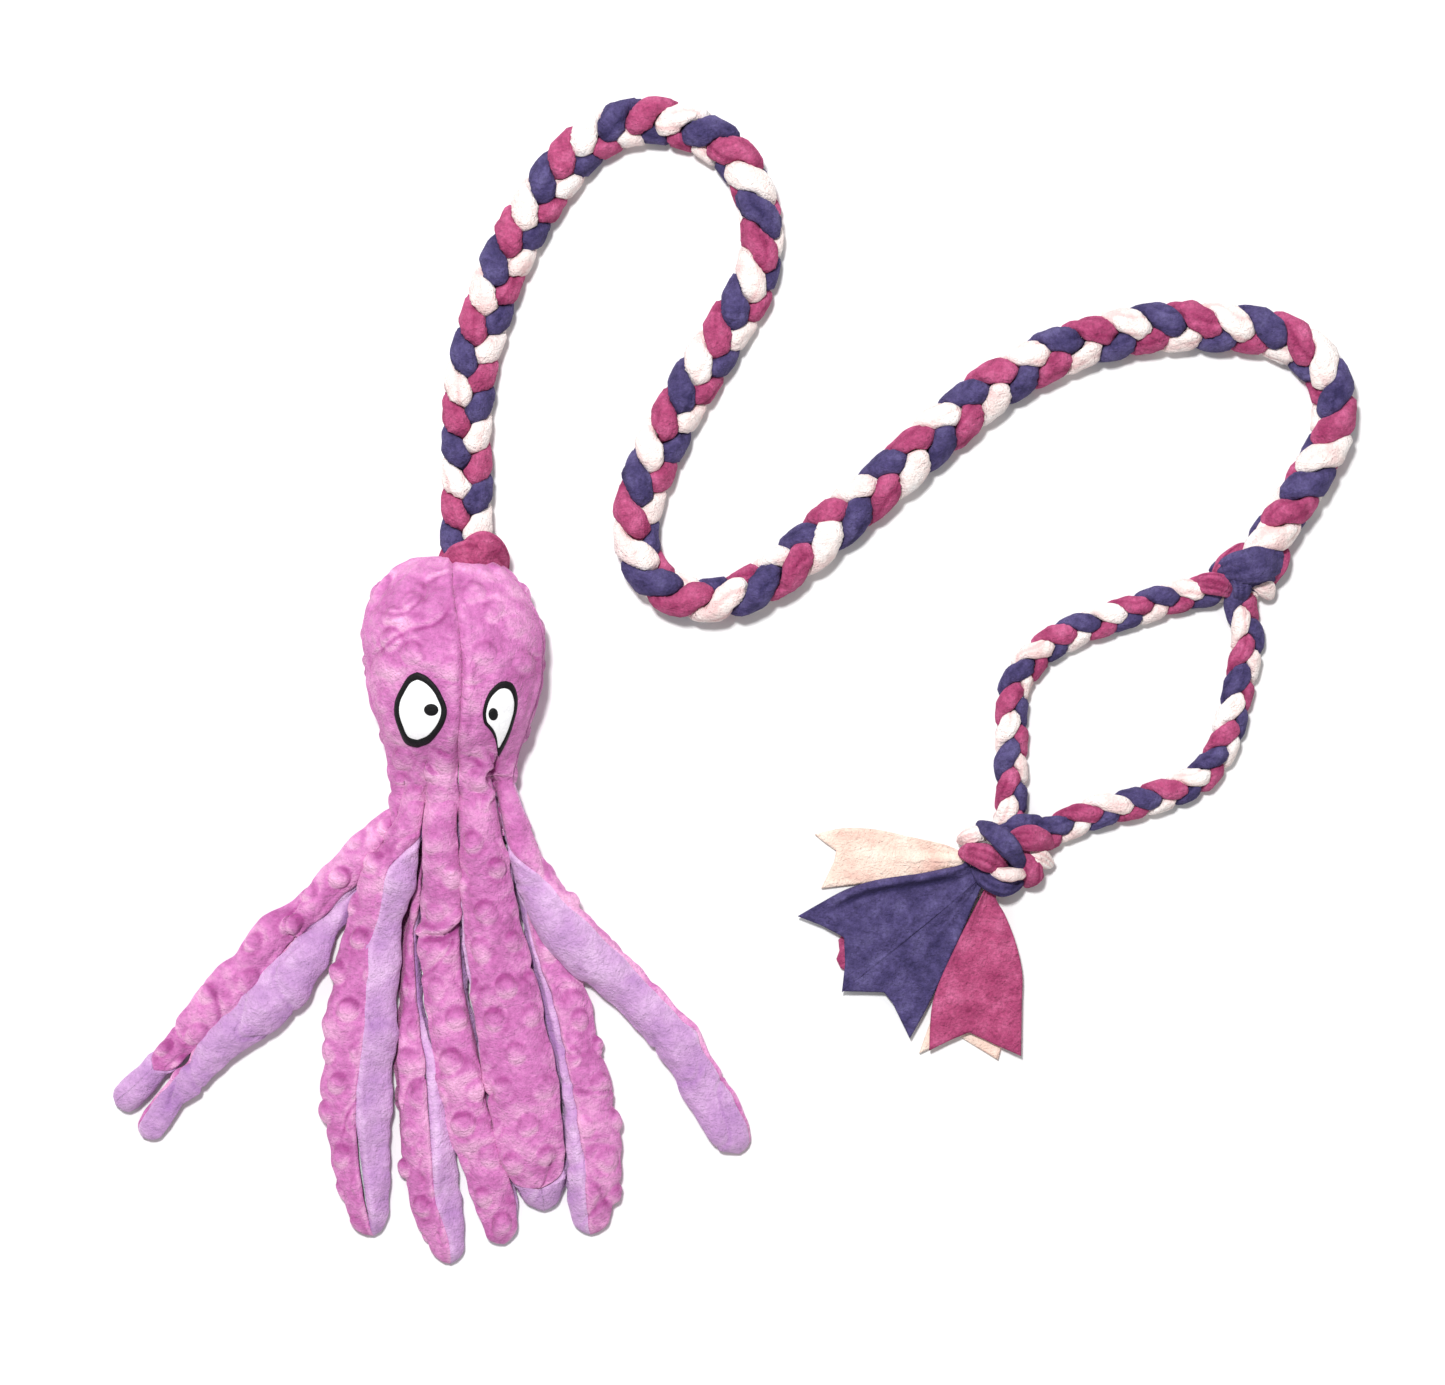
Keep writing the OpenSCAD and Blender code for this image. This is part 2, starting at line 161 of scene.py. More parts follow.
def step_up(x, low, high):
    """Smooth step from 0 at low to 1 at high"""
    t = np.clip((x - low) / (high - low), 0, 1)
    return t * t * (3 - 2 * t)


def crumple(p, seed):
    """Lumps and small creases of stuffed plush, in mm"""
    lumps = ripple(p, 34, 5) * 0.8 + ripple(p, 14, 6) * 0.35 + ripple(p, 6, 7) * 0.24
    creases = np.exp(-(ripple(p, 28, seed) / 0.14) ** 2) * step_up(ripple(p, 22, seed + 1), -0.6, 0.6)
    return lumps - 1.3 * creases


def painted_shade(relief, way, step):
    """Painted shade and highlight: lighter on humps and on slopes that lean towards the light, darker on slopes that
    lean away
    """
    return np.clip(0.14 * relief + 1.6 * way * np.gradient(relief, axis=0) / step, -1.8, 1.8)


def line_distance(p, line):
    """Distance in plan to a line, the side it is on (left of its direction is plus) and the share along it"""
    line = smooth(line, 12)
    d = p[..., None, :2] - line
    near = (d**2).sum(-1).argmin(-1)
    ahead = line[np.minimum(near + 1, len(line) - 1)] - line[np.maximum(near - 1, 0)]
    to = np.take_along_axis(d, near[..., None, None], -2)[..., 0, :]
    side = np.sign(ahead[..., 0] * to[..., 1] - ahead[..., 1] * to[..., 0])
    return np.linalg.norm(to, axis=-1), side, near / (len(line) - 1)


# ---------------- materials
def srgb(r, g, b):
    return tuple((c / 255 / 12.92 if c <= 10 else ((c / 255 + 0.055) / 1.055) ** 2.4) for c in (r, g, b)) + (1,)


def material(name, dark, mid, light, patch=55, speck=900, speck_depth=0.12, pile=1500, relief=0.5,
             roughness=0.9, sheen=0.35, sheen_tint=None, weave=0.0004, spread=0.22, painted_shade_weight=0.0):
    """Fabric: broad patches of three tones, fine specks, and relief of the pile.
    patch, speck and pile are noise scales, weave the depth of the pile in metres, and the painted shade weight how
    much the mesh's painted shade and highlight move the tone towards the dark or the light stop."""
    dark, mid, light, sheen_tint = (srgb(*colour) for colour in (dark, mid, light, sheen_tint or light))
    m = bpy.data.materials.new(name)
    m.use_nodes = True
    nodes, links = m.node_tree.nodes, m.node_tree.links
    shader = nodes["Principled BSDF"]
    where = nodes.new("ShaderNodeTexCoord").outputs["Object"]

    def node(kind, result, **inputs):
        """One output of a new node, with its inputs set or wired"""
        n = nodes.new(f"ShaderNode{kind}")
        for key, value in inputs.items():
            socket = n.inputs[key.replace("_", " ")]
            if isinstance(value, bpy.types.NodeSocket):
                links.new(value, socket)
            else:
                socket.default_value = value
        return n.outputs[result]

    def noise(scale, detail, rough=0.55):
        return node("TexNoise", "Fac", Scale=scale, Detail=detail, Roughness=rough, Vector=where)

    tone_field = noise(patch, 5, 0.62)
    # Painted shade and highlight: the mesh's attribute of painted shade moves the tone towards the dark or the light
    # stop
    if painted_shade_weight:
        height = nodes.new("ShaderNodeAttribute")
        height.attribute_name = "painted_shade"
        add = nodes.new("ShaderNodeMath")
        add.operation = "MULTIPLY_ADD"
        links.new(height.outputs["Fac"], add.inputs[0])
        add.inputs[1].default_value = painted_shade_weight
        links.new(tone_field, add.inputs[2])
        tone_field = add.outputs["Value"]
    ramp = nodes.new("ShaderNodeValToRGB")
    links.new(tone_field, ramp.inputs["Fac"])
    stops = ramp.color_ramp.elements
    stops[0].position, stops[0].color = 0.5 - spread, dark
    stops[1].position, stops[1].color = 0.5 + spread, light
    stops.new(0.5).color = mid
    fine = node("MapRange", "Result", Value=noise(speck, 3, 0.65), From_Min=0.3, From_Max=0.7,
                To_Min=1 - speck_depth, To_Max=1 + speck_depth)
    tone = node("HueSaturation", "Color", Color=ramp.outputs["Color"], Value=fine)
    rough = node("MapRange", "Result", Value=noise(patch * 6, 2), To_Min=max(0.0, roughness - 0.12),
                 To_Max=min(1.0, roughness + 0.1))
    coarse = node("Bump", "Normal", Strength=relief, Distance=weave * 2.5, Height=noise(pile / 4, 3, 0.6))
    hair = node("Bump", "Normal", Strength=relief, Distance=weave, Height=noise(pile, 3, 0.7), Normal=coarse)
    for key, field in (("Base Color", tone), ("Roughness", rough), ("Normal", hair)):
        links.new(field, shader.inputs[key])
    shader.inputs["Sheen Weight"].default_value = sheen
    shader.inputs["Sheen Roughness"].default_value = 0.45
    shader.inputs["Sheen Tint"].default_value = sheen_tint
    shader.inputs["Specular IOR Level"].default_value = 0.25
    return m


SHORT_PILE = dict(speck=420, pile=900, weave=0.0007, relief=0.8, spread=0.34)
FLEECE = dict(speck=620, pile=900, weave=0.0007, relief=0.9)
THREAD = dict(speck=1500, pile=2200, roughness=0.6)
MOULDED = dict(patch=90, speck=400, speck_depth=0.03, pile=600, weave=0.0001, relief=0.15, sheen=0.0)
PLUSH = material("orchid_plush", (162, 72, 138), (204, 121, 182), (240, 178, 218), patch=70,
                 speck_depth=0.16, sheen=0.4, sheen_tint=(255, 205, 230), painted_shade_weight=0.27, **SHORT_PILE)
LILAC = material("lilac_plush", (172, 124, 184), (198, 153, 203), (228, 191, 230), patch=60,
                 sheen=0.45, sheen_tint=(250, 225, 250), painted_shade_weight=0.22, **SHORT_PILE)
MAGENTA = material("magenta_fleece", (146, 50, 92), (176, 76, 118), (202, 104, 146), patch=110,
                   speck_depth=0.24, sheen=0.3, painted_shade_weight=0.16, **FLEECE)
PURPLE = material("purple_fleece", (52, 45, 86), (76, 67, 112), (98, 90, 136), patch=110,
                  speck_depth=0.28, sheen=0.3, painted_shade_weight=0.16, **FLEECE)
# Its pink darkest tone is painted reflection: pink light bounced into the shade of the white fleece
WHITE = material("white_fleece", (241, 204, 202), (254, 238, 233), (255, 251, 249), patch=80,
                 speck_depth=0.06, sheen=0.25, painted_shade_weight=0.2, **FLEECE)
# A darker, peachier copy of the white fleece for the tails: painted shade
SHADED_WHITE_FLEECE = material("white_fleece_shaded", (236, 192, 178), (250, 222, 206), (254, 238, 226), patch=80,
                 speck_depth=0.06, sheen=0.25, painted_shade_weight=0.2, **FLEECE)
EYE_WHITE = material("white_embroidery", (247, 246, 248), (252, 252, 253), (255, 255, 255), patch=60,
                     speck_depth=0.04, weave=0.0002, sheen=0.1, **THREAD)
EYE_BLACK = material("black_embroidery", (8, 7, 9), (13, 12, 15), (24, 22, 26), patch=150,
                     speck_depth=0.3, weave=0.0003, sheen=0.0, **THREAD)
FILLING = material("fibre_filling", (222, 220, 216), (238, 236, 232), (250, 249, 247), patch=120,
                   pile=700, weave=0.001, sheen=0.2)
FILM = material("crinkle_film", (170, 172, 178), (200, 202, 208), (228, 230, 234), patch=150,
                speck=500, speck_depth=0.2, pile=500, weave=0.001, roughness=0.35, sheen=0.0)
PLASTIC = material("squeaker_plastic", (214, 220, 224), (226, 231, 234), (238, 241, 243),
                   roughness=0.35, **MOULDED)
REED = material("reed_plastic", (232, 230, 222), (242, 240, 234), (250, 249, 245),
                roughness=0.4, **MOULDED)


# ---------------- mesh building
def make_mesh(name, points, faces, mats, which=None):
    """Object from points in mm, with each face's material number in which"""
    data = bpy.data.meshes.new(name)
    data.from_pydata((np.asarray(points) * MM).tolist(), [], [list(map(int, f)) for f in faces])
    for m in mats:
        data.materials.append(m)
    if which is not None:
        data.polygons.foreach_set("material_index", np.asarray(which, np.int32))
    b = bmesh.new()
    b.from_mesh(data)
    bmesh.ops.recalc_face_normals(b, faces=b.faces)
    b.to_mesh(data)
    b.free()
    data.shade_smooth()
    return add_object(name, data)


def set_painted_shade(obj, tone):
    """Keep each point's painted shade and highlight for the material"""
    obj.data.attributes.new("painted_shade", "FLOAT", "POINT").data.foreach_set("value", np.ravel(tone).astype(np.float32))


def tube_faces(rows, cols, start=0):
    """Faces of a tube of closed rings, with a cap at each end"""
    i, j = np.meshgrid(np.arange(rows - 1), np.arange(cols), indexing="ij")
    a = start + i * cols + j
    b = start + i * cols + (j + 1) % cols
    faces = np.stack([a, b, b + cols, a + cols], -1).reshape(-1, 4).tolist()
    faces.append(list(range(start, start + cols)))
    faces.append(list(range(start + (rows - 1) * cols, start + rows * cols)))
    return faces


def shell(name, outer, inner, mats, tone=None):
    """Closed skin between two grids of points, with its painted shade and highlight"""
    rows, cols = outer.shape[:2]
    ring = np.concatenate([outer, inner[:, ::-1]], 1)
    n = 2 * cols
    faces = tube_faces(rows, n)[:-2]
    for k in (0, (rows - 1) * n):
        faces += [[k + j, k + j + 1, k + n - 2 - j, k + n - 1 - j] for j in range(cols - 1)]
    obj = make_mesh(name, ring.reshape(-1, 3), faces, mats)
    if tone is not None:
        set_painted_shade(obj, np.concatenate([tone, tone[:, ::-1]], 1))
    return obj


def grid_normals(g):
    """Normals of a grid of points"""
    return unit(np.cross(np.gradient(g, axis=1), np.gradient(g, axis=0)))


def piece(obj, body, slot, *nodes):
    """Ride on a body and stand for the nodes; the slot is not used"""
    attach(obj, body)
    return stands_for(obj, slot, *nodes)


def stands_for(obj, slot, *nodes):
    """Hide the nodes that the object stands for; the slot is not used"""
    if nodes:
        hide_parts(*nodes)
    return obj


# ---------------- braided rope and loop
ROPE_ROUTE = [
    [17, 164], [17, 180], [17, 200], [17, 224], [19, 250], [26, 276], [37, 305], [54, 334], [74, 357],
    [98, 366], [124, 361], [144, 345], [153, 318], [150, 293], [138, 271], [121, 243], [105, 213], [96, 186],
    [98, 163], [112, 148], [134, 145], [159, 156], [184, 177], [212, 201], [240, 226], [268, 248], [298, 262],
    [330, 270], [363, 271], [394, 266], [414, 249], [417, 224], [406, 200], [389, 174], [384, 165]
]
LEG_LEFT_ROUTE = [
    [372, 156], [364, 150], [348, 147], [326, 140], [302, 132], [283, 121], [271, 105], [269, 82], [269, 60],
    [268, 43], [266, 34]
]
LEG_RIGHT_ROUTE = [
    [377, 152], [375, 142], [378, 126], [374, 104], [368, 80], [356, 63], [335, 53], [310, 47], [293, 40],
    [285, 36.5], [277, 32]
]


def braid(name, route, height, reach, rise, thick, lay, roll, order, step=1.4):
    """Three-strand braid along a level route.
    reach and rise are how far a strand swings sideways and up, thick its radius. lay gives the turns that the
    first strand has made at places along the route, roll how far the braid is rolled there, in degrees, and order
    the turns that each strand is behind the first."""
    marks, line = resample(smooth(route, 30), step)
    ahead = unit(np.gradient(line, axis=0))
    left = np.stack([-ahead[:, 1], ahead[:, 0], 0 * marks], 1)
    up = np.array([[0.0, 0.0, 1.0]])
    turns = keyed(marks, lay, 14)
    tilt = np.radians(keyed(marks, roll, 12))[:, None]
    wide = left * np.cos(tilt) + up * np.sin(tilt)
    deep = -left * np.sin(tilt) + up * np.cos(tilt)
    centre = np.column_stack([line, np.full(len(line), height)])
    phases = [2 * math.pi * (turns - behind)[:, None] for behind in order]
    strands = np.array([centre + wide * reach * np.sin(phase) + deep * rise * np.sin(2 * phase) for phase in phases])
    count, sides = len(marks), 22
    angles = np.linspace(0, 2 * math.pi, sides, endpoint=False)
    window = int(24 / step)
    points, faces, which, tones = [], [], [], []
    for number, own in enumerate(strands):
        along = unit(np.gradient(own, axis=0))
        out = unit(np.cross(along, np.cross(wide, along)))
        across = np.cross(along, out)
        rays = out[:, None] * np.cos(angles)[None, :, None] + across[:, None] * np.sin(angles)[None, :, None]
        others = np.concatenate([strands[k] for k in range(3) if k != number])
        offsets = np.arange(-window, window + 1)
        index = np.clip(np.arange(count)[:, None] + offsets, 0, count - 1)
        near = np.concatenate([others[index], others[index + count]], 1)
        low, high = np.full((count, sides), 0.5), np.full((count, sides), float(thick))
        for _ in range(9):
            middle = (low + high) / 2
            tip = own[:, None] + rays * middle[..., None]
            other = np.sqrt(((tip[:, :, None] - near[:, None]) ** 2).sum(-1).min(-1))
            off = tip - centre[:, None]
            oval = ((off * wide[:, None]).sum(-1) / (reach + thick * 0.9)) ** 2
            oval = oval + ((off * deep[:, None]).sum(-1) / (rise + thick * 0.93)) ** 2
            free = (other >= middle) & ((oval <= 1) | (middle < thick * 0.5))
            low, high = np.where(free, middle, low), np.where(free, high, middle)
        radius = np.minimum(low, (np.roll(low, 1, 1) + low * 4 + np.roll(low, -1, 1)) / 6)
        tip = own[:, None] + rays * radius[..., None]
        drift = line_ripple(marks, 26, number)[:, None]
        fold = (0.5 + 0.5 * np.cos(4 * angles[None] + 2.1 * number + 1.4 * drift)) ** 9
        fold = fold * np.clip(0.6 + 0.6 * ripple(own, 18, 90 + number), 0, 1)[:, None]
        grain = ripple(tip, 4.5, 40 + number) * 0.14 + ripple(tip, 10, 50 + number) * 0.25
        radius = radius - 0.1 - fold * 0.11 * thick + grain
        # Painted shade and highlight: darker in the folds along the strand, lighter on raised grain
        tones.append((grain * 0.5 - 1.3 * fold).ravel())
        tip = own[:, None] + rays * radius[..., None]
        raise_to(tip, 0.25)
        faces += tube_faces(count, sides, len(points) * count * sides)
        points.append(tip.reshape(-1, 3))
        which += [number] * (len(faces) - len(which))
    obj = make_mesh(name, np.concatenate(points), faces, [PURPLE, MAGENTA, WHITE], which)
    set_painted_shade(obj, np.concatenate(tones))
    return obj, (centre * MM).tolist()


ROPE_LAY = [(-35, -0.74), (11, 0.25), (96, 2.25), (183, 4.25), (266, 6.25), (354, 8.25), (445, 10.25), (545, 12.25),
            (649, 14.25), (746, 16.25), (842, 18.25), (960, 20.85)]
ROPE_ROLL = [(0, 0), (60, 8), (110, 22), (180, 32), (222, 42), (266, 60), (309, 88), (340, 120), (354, 135),
             (400, 148), (445, 150), (475, 132), (500, 108), (545, 122), (571, 150), (597, 165), (650, 180),
             (720, 190), (766, 206), (812, 222), (860, 246), (904, 262), (950, 266)]
LEFT_LAY = [(0, -0.28), (39, 0.75), (77, 1.75), (113, 2.75), (153, 3.75), (190, 4.7)]
RIGHT_LAY = [(0, 0.55), (8, 0.75), (49, 1.75), (88, 2.75), (126, 3.75), (170, 4.75), (200, 5.5)]
LEG = dict(height=7.4, reach=3.9, rise=2.3, thick=4.9, step=1.2)
rope, rope_path = braid("rope_three_strand_braid", ROPE_ROUTE, 10.4, 5.6, 3.4, 7.2, ROPE_LAY, ROPE_ROLL,
                        (0, 1 / 3, 2 / 3))
leg_left, leg_left_path = braid("loop_leg_left_braid", LEG_LEFT_ROUTE, lay=LEFT_LAY, order=(0, 1 / 3, 2 / 3),
                                roll=[(0, -30), (60, -32), (100, -38), (190, -30)], **LEG)
leg_right, leg_right_path = braid("loop_leg_right_braid", LEG_RIGHT_ROUTE, lay=RIGHT_LAY, order=(0, 2 / 3, 1 / 3),
                                  roll=[(0, -25), (60, -40), (120, -40), (200, -30)], **LEG)


def lobe(start, middle, end, wide, thick, seed=0, folds=2, pinch=0.45):
    """Points and faces of one folded fleece strip that bends over a knot, narrower at both ends"""
    t = np.linspace(0, 1, 30)[:, None]
    a, b, c = (np.array(p, float) for p in (start, middle, end))
    control = 2 * b - (a + c) / 2
    line = a * (1 - t) ** 2 + 2 * control * t * (1 - t) + c * t**2
    ahead = unit(np.gradient(line, axis=0))
    side = unit(np.cross(ahead, np.array([[0, 0, 1.0]])))
    up = np.cross(side, ahead)
    shape = np.sin(np.pi * np.clip(t * 0.94 + 0.03, 0, 1)) ** pinch
    angles = np.linspace(0, 2 * math.pi, 26, endpoint=False)[None, :]
    x = np.sign(np.cos(angles)) * np.abs(np.cos(angles)) ** 0.8
    y = np.sign(np.sin(angles)) * np.abs(np.sin(angles)) ** 0.8
    crease = 1 - 0.2 * (0.5 + 0.5 * np.cos(folds * 2 * np.pi * x * 0.8 + seed + 1.5 * t)) ** 8
    w, h = wide / 2 * shape * x, thick / 2 * shape**0.6 * y * np.where(y > 0, crease, 1)
    points = line[:, None] + side[:, None] * w[..., None] + up[:, None] * h[..., None]
    points = points + unit(points - line[:, None]) * (ripple(points, 6, 70 + seed) * 0.22)[..., None]
    raise_to(points, 0.25)
    # Painted shade in the creases on the top of the strip
    tone = np.where(y > 0, 8 * (crease - 1), 0) + 0 * t
    return points.reshape(-1, 3), tube_faces(30, 26), tone.ravel()


def bundle(name, mat, lobes):
    """One object of several folded strips of one colour"""
    points, faces, tones, start = [], [], [], 0
    for number, args in enumerate(lobes):
        p, f, tone = lobe(*args, seed=number + len(name))
        points.append(p)
        tones.append(tone)
        faces += [[k + start for k in face] for face in f]
        start += len(p)
    obj = make_mesh(name, np.concatenate(points), faces, [mat])
    set_painted_shade(obj, np.concatenate(tones))
    return obj


def knot(node, body, strips):
    """Strips of each colour, of which the first colour's object stands for the node"""
    made = []
    for (name, mat), lobes in zip((("purple", PURPLE), ("magenta", MAGENTA), ("white", WHITE)), strips):
        if lobes:
            obj = bundle(f"{node}_{name}", mat, lobes)
            made.append(piece(obj, body, f"{name}_fleece", *([] if made else [node])))
    return made


# Where the rope leaves the crown
knot("crown_wrap", "head", [[], [
    ([5, 157.5, 9], [20, 165, 23], [34, 156, 6], 14, 9),
    ([12, 156, 9], [25, 168, 22], [33.5, 157, 6], 16, 8),
    ([6, 159, 6], [21, 164, 20.5], [33, 156, 5], 15, 7),
    ([5, 162, 4], [20, 171, 6], [32, 161, 4], 14, 7)]])
# Where the braid divides into the loop
split_knot = knot("split_knot", "rope", [[
    ([362, 157, 7], [379, 160.5, 21], [394, 162, 8], 16.5, 8),
    ([368, 157, 4], [380, 154, 8], [391, 153, 4], 12, 7),
    ([369, 158, 5], [381, 159, 12], [394, 160, 5], 17, 10),
    ([371, 162, 5], [374, 153, 17], [374, 143, 8], 9, 6)], [
    ([362, 154, 6], [368, 163, 13], [377, 170, 6], 7, 7),
    ([388, 152, 5], [392.5, 160, 12], [396, 168, 6], 7, 6),
    ([354, 152, 6], [362, 152, 16], [372, 148, 7], 11, 7)], [
    ([383, 170, 6], [388, 176, 13], [394, 180, 8], 13, 8),
    ([380, 153, 8], [385, 151, 12], [389, 146, 5], 9, 6)]])
# Where the two legs and the tails are tied together
end_knot = knot("end_knot", "handle", [[
    ([254, 41, 8], [265, 33, 23.5], [273, 21, 12], 10.5, 8),
    ([251, 21, 6], [263, 13, 13], [274, 16, 6], 10, 8),
    ([262, 40, 6], [272, 41, 12], [282, 43, 6], 10, 8),
    ([252, 18, 5], [262, 22, 8], [272, 24, 6], 20, 8)], [
    ([246, 28, 7], [256, 26, 18], [265, 20, 9], 12, 8),
    ([267, 33, 11], [277, 35, 19], [287, 31, 7], 12, 8),
    ([270, 31, 9], [278, 21, 13], [276, 13, 5], 10, 8),
    ([268, 20, 4], [276, 18, 8], [283, 18, 4], 10, 6)], [
    ([245, 33, 6], [251, 36, 12], [258, 36, 6], 9, 7),
    ([259, 20, 10], [267, 18, 19], [275, 19, 10], 7, 6),
    ([274, 27, 9], [281, 26, 13], [287, 22, 5], 9, 7)]])

piece(rope, "rope", "purple_fleece", "rope_braid")
piece(leg_left, "handle", "magenta_fleece", "loop_leg_left")
piece(leg_right, "handle", "white_fleece", "loop_leg_right")


# ---------------- tentacles
# Stations: x, y, half width, bottom and top. roll turns the dotted face from the side (0) to facing down (180).
# tip is how far up the lilac fabric wraps round the end. hinge is the point of its hinge and out the way it
# leaves it, which is (0, -1) where none is given. up raises it, to lie over a neighbour.
TENTACLES = {
    "a": dict(roll=[(0, 12)], tip=26, hinge=(-32.65, 25.35), out=(-0.7071, -0.7071), stations=[
        [-4, 50, 5, 2, 9], [-10, 46, 6, 1, 11], [-20, 38, 7, 0, 12], [-32.5, 25.5, 7, 0, 14],
        [-44, 14, 7.5, 0, 14], [-57.5, 0.5, 8.3, 0, 14], [-72.5, -10.5, 9.4, 0, 13.5],
        [-85.5, -27, 9, 0, 13.5], [-99.5, -42.5, 9.2, 0, 13.5], [-111, -55, 8.8, 0, 13], [-124, -70, 7.4, 0, 12],
        [-136, -82, 6.8, 0, 11], [-146, -89.5, 5.4, 0.5, 8]]),
    "b": dict(up=1, roll=[(0, 160)], hinge=(-45.8, -5.7), out=(-0.6, -0.8), stations=[
        [-8, 46, 5, 0, 8], [-18, 26, 5, 0, 7], [-32, 7, 5.4, 0, 8], [-46, -5, 6.6, 0, 9.5], [-53, -14.5, 9, 0, 11.5],
        [-62.5, -26.5, 11, 0, 13.5], [-73.5, -39.5, 10.6, 0, 14], [-85.5, -51, 9.2, 0, 14],
        [-98.5, -62.5, 8.4, 0, 14], [-109.5, -75.5, 8.6, 0, 13], [-119.5, -86.5, 8.4, 0, 12],
        [-127.5, -96.5, 7.4, 0, 10], [-133.5, -104.5, 4.5, 1, 6]]),
    "c": dict(roll=[(0, 10), (26, 12), (33, 50), (38, 84), (46, 106), (56, 92), (64, 80), (87, 82), (133, 84),
                   (156, 90), (179, 86), (200, 90)],
              hinge=(-9, 39.75), stations=[
        [-5, 66, 5, 9, 19], [-6.5, 54, 6, 9, 20.5], [-9, 40.5, 6.6, 8.5, 22.3], [-14.5, 25, 9.3, 8.5, 21],
        [-23, 6, 12, 7, 19], [-28.5, -17, 13.9, 0, 15], [-31, -40, 15.5, 0, 15], [-33, -63, 15.5, 0, 15],
        [-33.5, -86, 16.5, 0, 15], [-33, -109, 14.6, 0, 14], [-30, -130, 11.3, 0, 12], [-28, -143, 8, 0.5, 10],
        [-26.5, -150, 4.5, 1, 6]]),
    "d": dict(up=-1.5, roll=[(0, 30), (110, 45), (135, 62), (157, 75), (181, 93), (200, 84)], hinge=(-9, -3.7),
              stations=[
        [2, 46, 5, 0, 8], [-4, 20, 4.4, 0, 7], [-9, -4, 3.6, 0, 8], [-9.8, -17, 5, 0, 9.5], [-9, -40, 6.2, 0, 11],
        [-8, -63, 8, 0, 13], [-5.5, -86, 10, 0, 14], [-2, -109, 11.2, 0, 14], [2.5, -133, 11.8, 0, 13],
        [7, -151, 8.6, 0, 10], [9, -163, 4, 1, 6]]),
    "e": dict(creases=[([[-1, -10], [4, -10.5], [10, -8.5], [16, -3]], 2.6)], roll=[(0, 0)],
              hinge=(5.5, 39.75), stations=[
        [8, 66, 7, 9, 23], [7, 54, 7.5, 9, 24.5], [5.5, 40.5, 8.2, 8.5, 26.3], [6.5, 25, 9, 7, 23],
        [6.5, 6, 9.2, 2, 18], [5.5, -17, 10.2, 0, 15], [7.4, -40, 10.4, 0, 14.5], [13, -63, 10.2, 0, 14.5],
        [18, -86, 9.8, 0, 14], [23, -109, 10, 0, 13.5], [29, -131, 10.6, 0, 12.5], [32, -146, 8.2, 0, 10],
        [34, -154, 4, 1, 6]]),
    "f": dict(up=2.4, roll=[(0, 0)], tip=12, hinge=(23.5, 39.75), stations=[
        [20, 66, 8, 9, 23], [22, 54, 8.5, 9, 24.8], [23.4, 40.5, 9.2, 8.5, 26.8], [25, 25, 10.4, 6, 24],
        [27.5, 6, 11.4, 2, 20.5], [30.5, -17, 14, 0, 18], [35, -40, 15.4, 0, 17], [39.8, -63, 15.8, 0, 17],
        [43.5, -86, 15.6, 0, 16], [47, -109, 13.8, 0, 14.5], [50.5, -125, 11.4, 0, 12], [52, -134, 7, 0.6, 9],
        [52.3, -138.5, 3.6, 1, 6]]),
    "g": dict(roll=[(0, -60), (60, -60), (130, -73), (190, -82), (230, -90)], hinge=(59, -28.7),
              out=(0.32, -0.9474), stations=[
        [38, 46, 5, 0, 8], [44.5, 13, 6.5, 0, 8], [50.5, -10, 8, 0, 9], [57, -29, 9.6, 0, 10],
        [61.5, -40, 11.6, 0, 11.5], [67.4, -63, 12.6, 0, 13.5], [72.3, -86, 11.6, 0, 13.5],
        [74.5, -109, 12.2, 0, 13.5], [74.5, -130, 11, 0, 12], [74, -144, 7.6, 0.5, 8.5], [74, -149.5, 4, 1, 6]]),
    "h": dict(roll=[(0, 10), (26, -10), (36, -70), (48, -125), (70, -140), (120, -150), (200, -160)],
              hinge=(40.3, 39.75), stations=[
        [34, 62, 5, 9, 17], [37, 51, 5.5, 9, 19.5], [40, 40.5, 6, 8.5, 21], [45, 23, 6.6, 8.5, 20.5],
        [57, -1, 8.8, 7.5, 19], [72, -18, 9.8, 3, 17.5], [88, -33, 10.2, 0, 15.5], [101, -47, 10.4, 0, 14.5],
        [114, -62, 10.4, 0, 14], [125, -78, 10, 0, 13], [134, -93, 9.4, 0, 11.5], [141, -106, 7, 0.5, 8.5],
        [143, -112, 3.6, 1, 5.5]]),
}


# ---------------- head
# Sections: y, middle x, half width, height of the side seams, top and bottom
HEAD_SECTIONS = [
    [163, 9, 19, 14, 23, 5], [159, 9, 26, 15, 30, 3], [151, 9, 33, 16, 37, 1], [140, 10, 39, 18, 44, 0],
    [126, 12, 41.5, 19, 48, 0], [108, 13, 40, 19, 49, 0], [90, 12, 36, 18, 45, 0], [75, 11, 31.5, 15, 37, 0],
    [60, 11, 29, 13, 31, 0], [48, 13, 30, 12, 29, 0], [40, 15, 31.5, 12, 28, 0]
]
HEAD_LINE = smooth(HEAD_SECTIONS, 10)[::-1]
FRONT_SEAM = 84
HEM_Y = 39.6
HEAD_SKIN, TENTACLE_SKIN = 1.6, 1.4
NECK_MIDDLE = np.array([15.0, HEM_Y, 11.0])
CROWN_MIDDLE = np.array([11.0, 163, 14])
